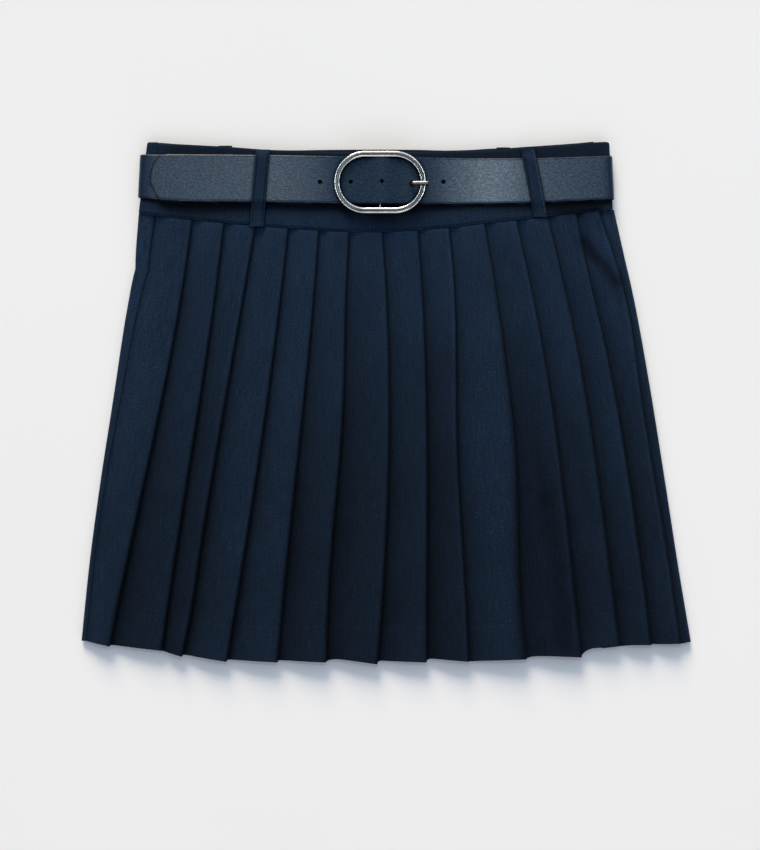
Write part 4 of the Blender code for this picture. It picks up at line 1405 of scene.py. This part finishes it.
def prong():
    around = BAR_RADIUS + GAP + PRONG_ROOT
    rows = []
    for angle in np.radians(range(50, 271, 10)):
        x, z = RING_MIDDLE[0] + around * math.cos(angle), BAR_LEVEL + around * math.sin(angle)
        rows.append((x, PRONG_ROW, z, PRONG_ROOT))
    rows += [(point.x, PRONG_ROW, point.z, point.radius) for point in PRONG_SHAFT]
    steps = np.arange(4 * len(rows) - 3) / 4
    dense = np.stack([np.interp(steps, range(len(rows)), column) for column in zip(*rows)], axis=1)
    dense = smoothed(dense, 3)
    x, y, z, radius = dense[-1]
    ends = []
    for angle in np.radians((30, 60, 80)):
        reach = math.sin(angle)
        ends.append((x + 0.9 * reach, y, z - 0.1 * reach, radius * math.cos(angle)))
    dense = np.concatenate([dense, ends])
    rounds = circle(24)

    def section(k):
        size = dense[k, 3]
        # Painted light on the prong's top and painted shade on its sides and underside
        return [(u * size, v * size, 0.15 + 0.75 * max(v, 0.0) ** 1.3) for u, v in rounds]

    obj = swept("buckle_tongue", dense[:, :3], section, (0, 1, 0))
    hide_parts("buckle_prong")


buckle()
prong()


# ---------------------------------------------------------------- floor, light and camera

def make_floor():
    bpy.ops.mesh.primitive_plane_add(size=8.0, location=(0.0, 0.0, -0.0001))
    floor = bpy.context.object
    floor.name = "floor"
    floor.data.materials.append(floor_material())


def aim(obj, target):
    direction = np.array(target) - np.array(obj.location)
    pitch = math.atan2(math.hypot(direction[0], direction[1]), -direction[2])
    obj.rotation_euler = (pitch, 0.0, math.atan2(-direction[0], direction[1]))


def add_light(name, kind, location, energy, colour, size, target=(0.0, 0.0, 0.0)):
    data = bpy.data.lights.new(name, kind)
    data.energy = energy
    data.color = colour
    if kind == "SUN":
        data.angle = size
    else:
        data.shape = "DISK"
        data.size = size
    obj = bpy.data.objects.new(name, data)
    obj.location = location
    bpy.context.scene.collection.objects.link(obj)
    aim(obj, target)


def make_world():
    """A pale studio: bright beyond the waist and the hem, darker overhead, low down and sideways."""
    world = bpy.data.worlds.new("pale_studio")
    world.use_nodes = True
    graph = Graph(world.node_tree)
    direction = graph.add("TexCoord", "Generated")
    weighted = graph.add("VectorMath", "Vector", {0: direction, 1: (1.15, 0, 1)}, operation="MULTIPLY")
    dimmed = graph.add("VectorMath", "Value", {0: direction, 1: weighted}, operation="DOT_PRODUCT")
    sky = graph.ramp(dimmed, (1.11, 1.19, 1.42), (0.175, 0.207, 0.25), 0.45)
    height = graph.add("SeparateXYZ", "Z", {"Vector": direction})
    sky = graph.multiplied(sky, graph.ramp(height, 0.3, 1, 0.03, 0.3))
    seen = graph.add("LightPath", "Is Camera Ray")
    sky = graph.mixed(sky, (0.84, 0.845, 0.85), seen)
    graph.links.new(sky, graph.nodes["Background"].inputs["Color"])
    bpy.context.scene.world = world


def make_camera():
    """Straight down: the long side of the picture is 850 pixels of the skirt's upper face."""
    lens, film = 85.0, 36.0
    skirt_top = 7.0
    height = IMAGE_HEIGHT * PIXEL * lens / film + skirt_top
    data = bpy.data.cameras.new("camera")
    data.lens = lens
    data.sensor_width = film
    data.clip_start, data.clip_end = 0.01, 50.0
    camera = bpy.data.objects.new("camera", data)
    x = (IMAGE_WIDTH / 2 - MIDDLE_PIXEL[0]) * PIXEL
    y = (MIDDLE_PIXEL[1] - IMAGE_HEIGHT / 2) * PIXEL
    camera.location = (x * MM, y * MM, height * MM)
    bpy.context.scene.collection.objects.link(camera)
    bpy.context.scene.camera = camera


make_floor()
make_world()
make_camera()
add_light("key", "SUN", (-0.2, 1.0, 0.43), 3.95, (1.0, 0.87, 0.66), math.radians(28))
for name, x, energy in (("sheen_right", 0.1585, 1.75), ("sheen_left", -0.18, 0.78)):
    add_light(name, "AREA", (x, 0.357, 1.5), energy, (0.68, 0.87, 1.0), 0.14, (x / 2, 0.18, 0.0))
bpy.context.scene.view_settings.view_transform = "Standard"
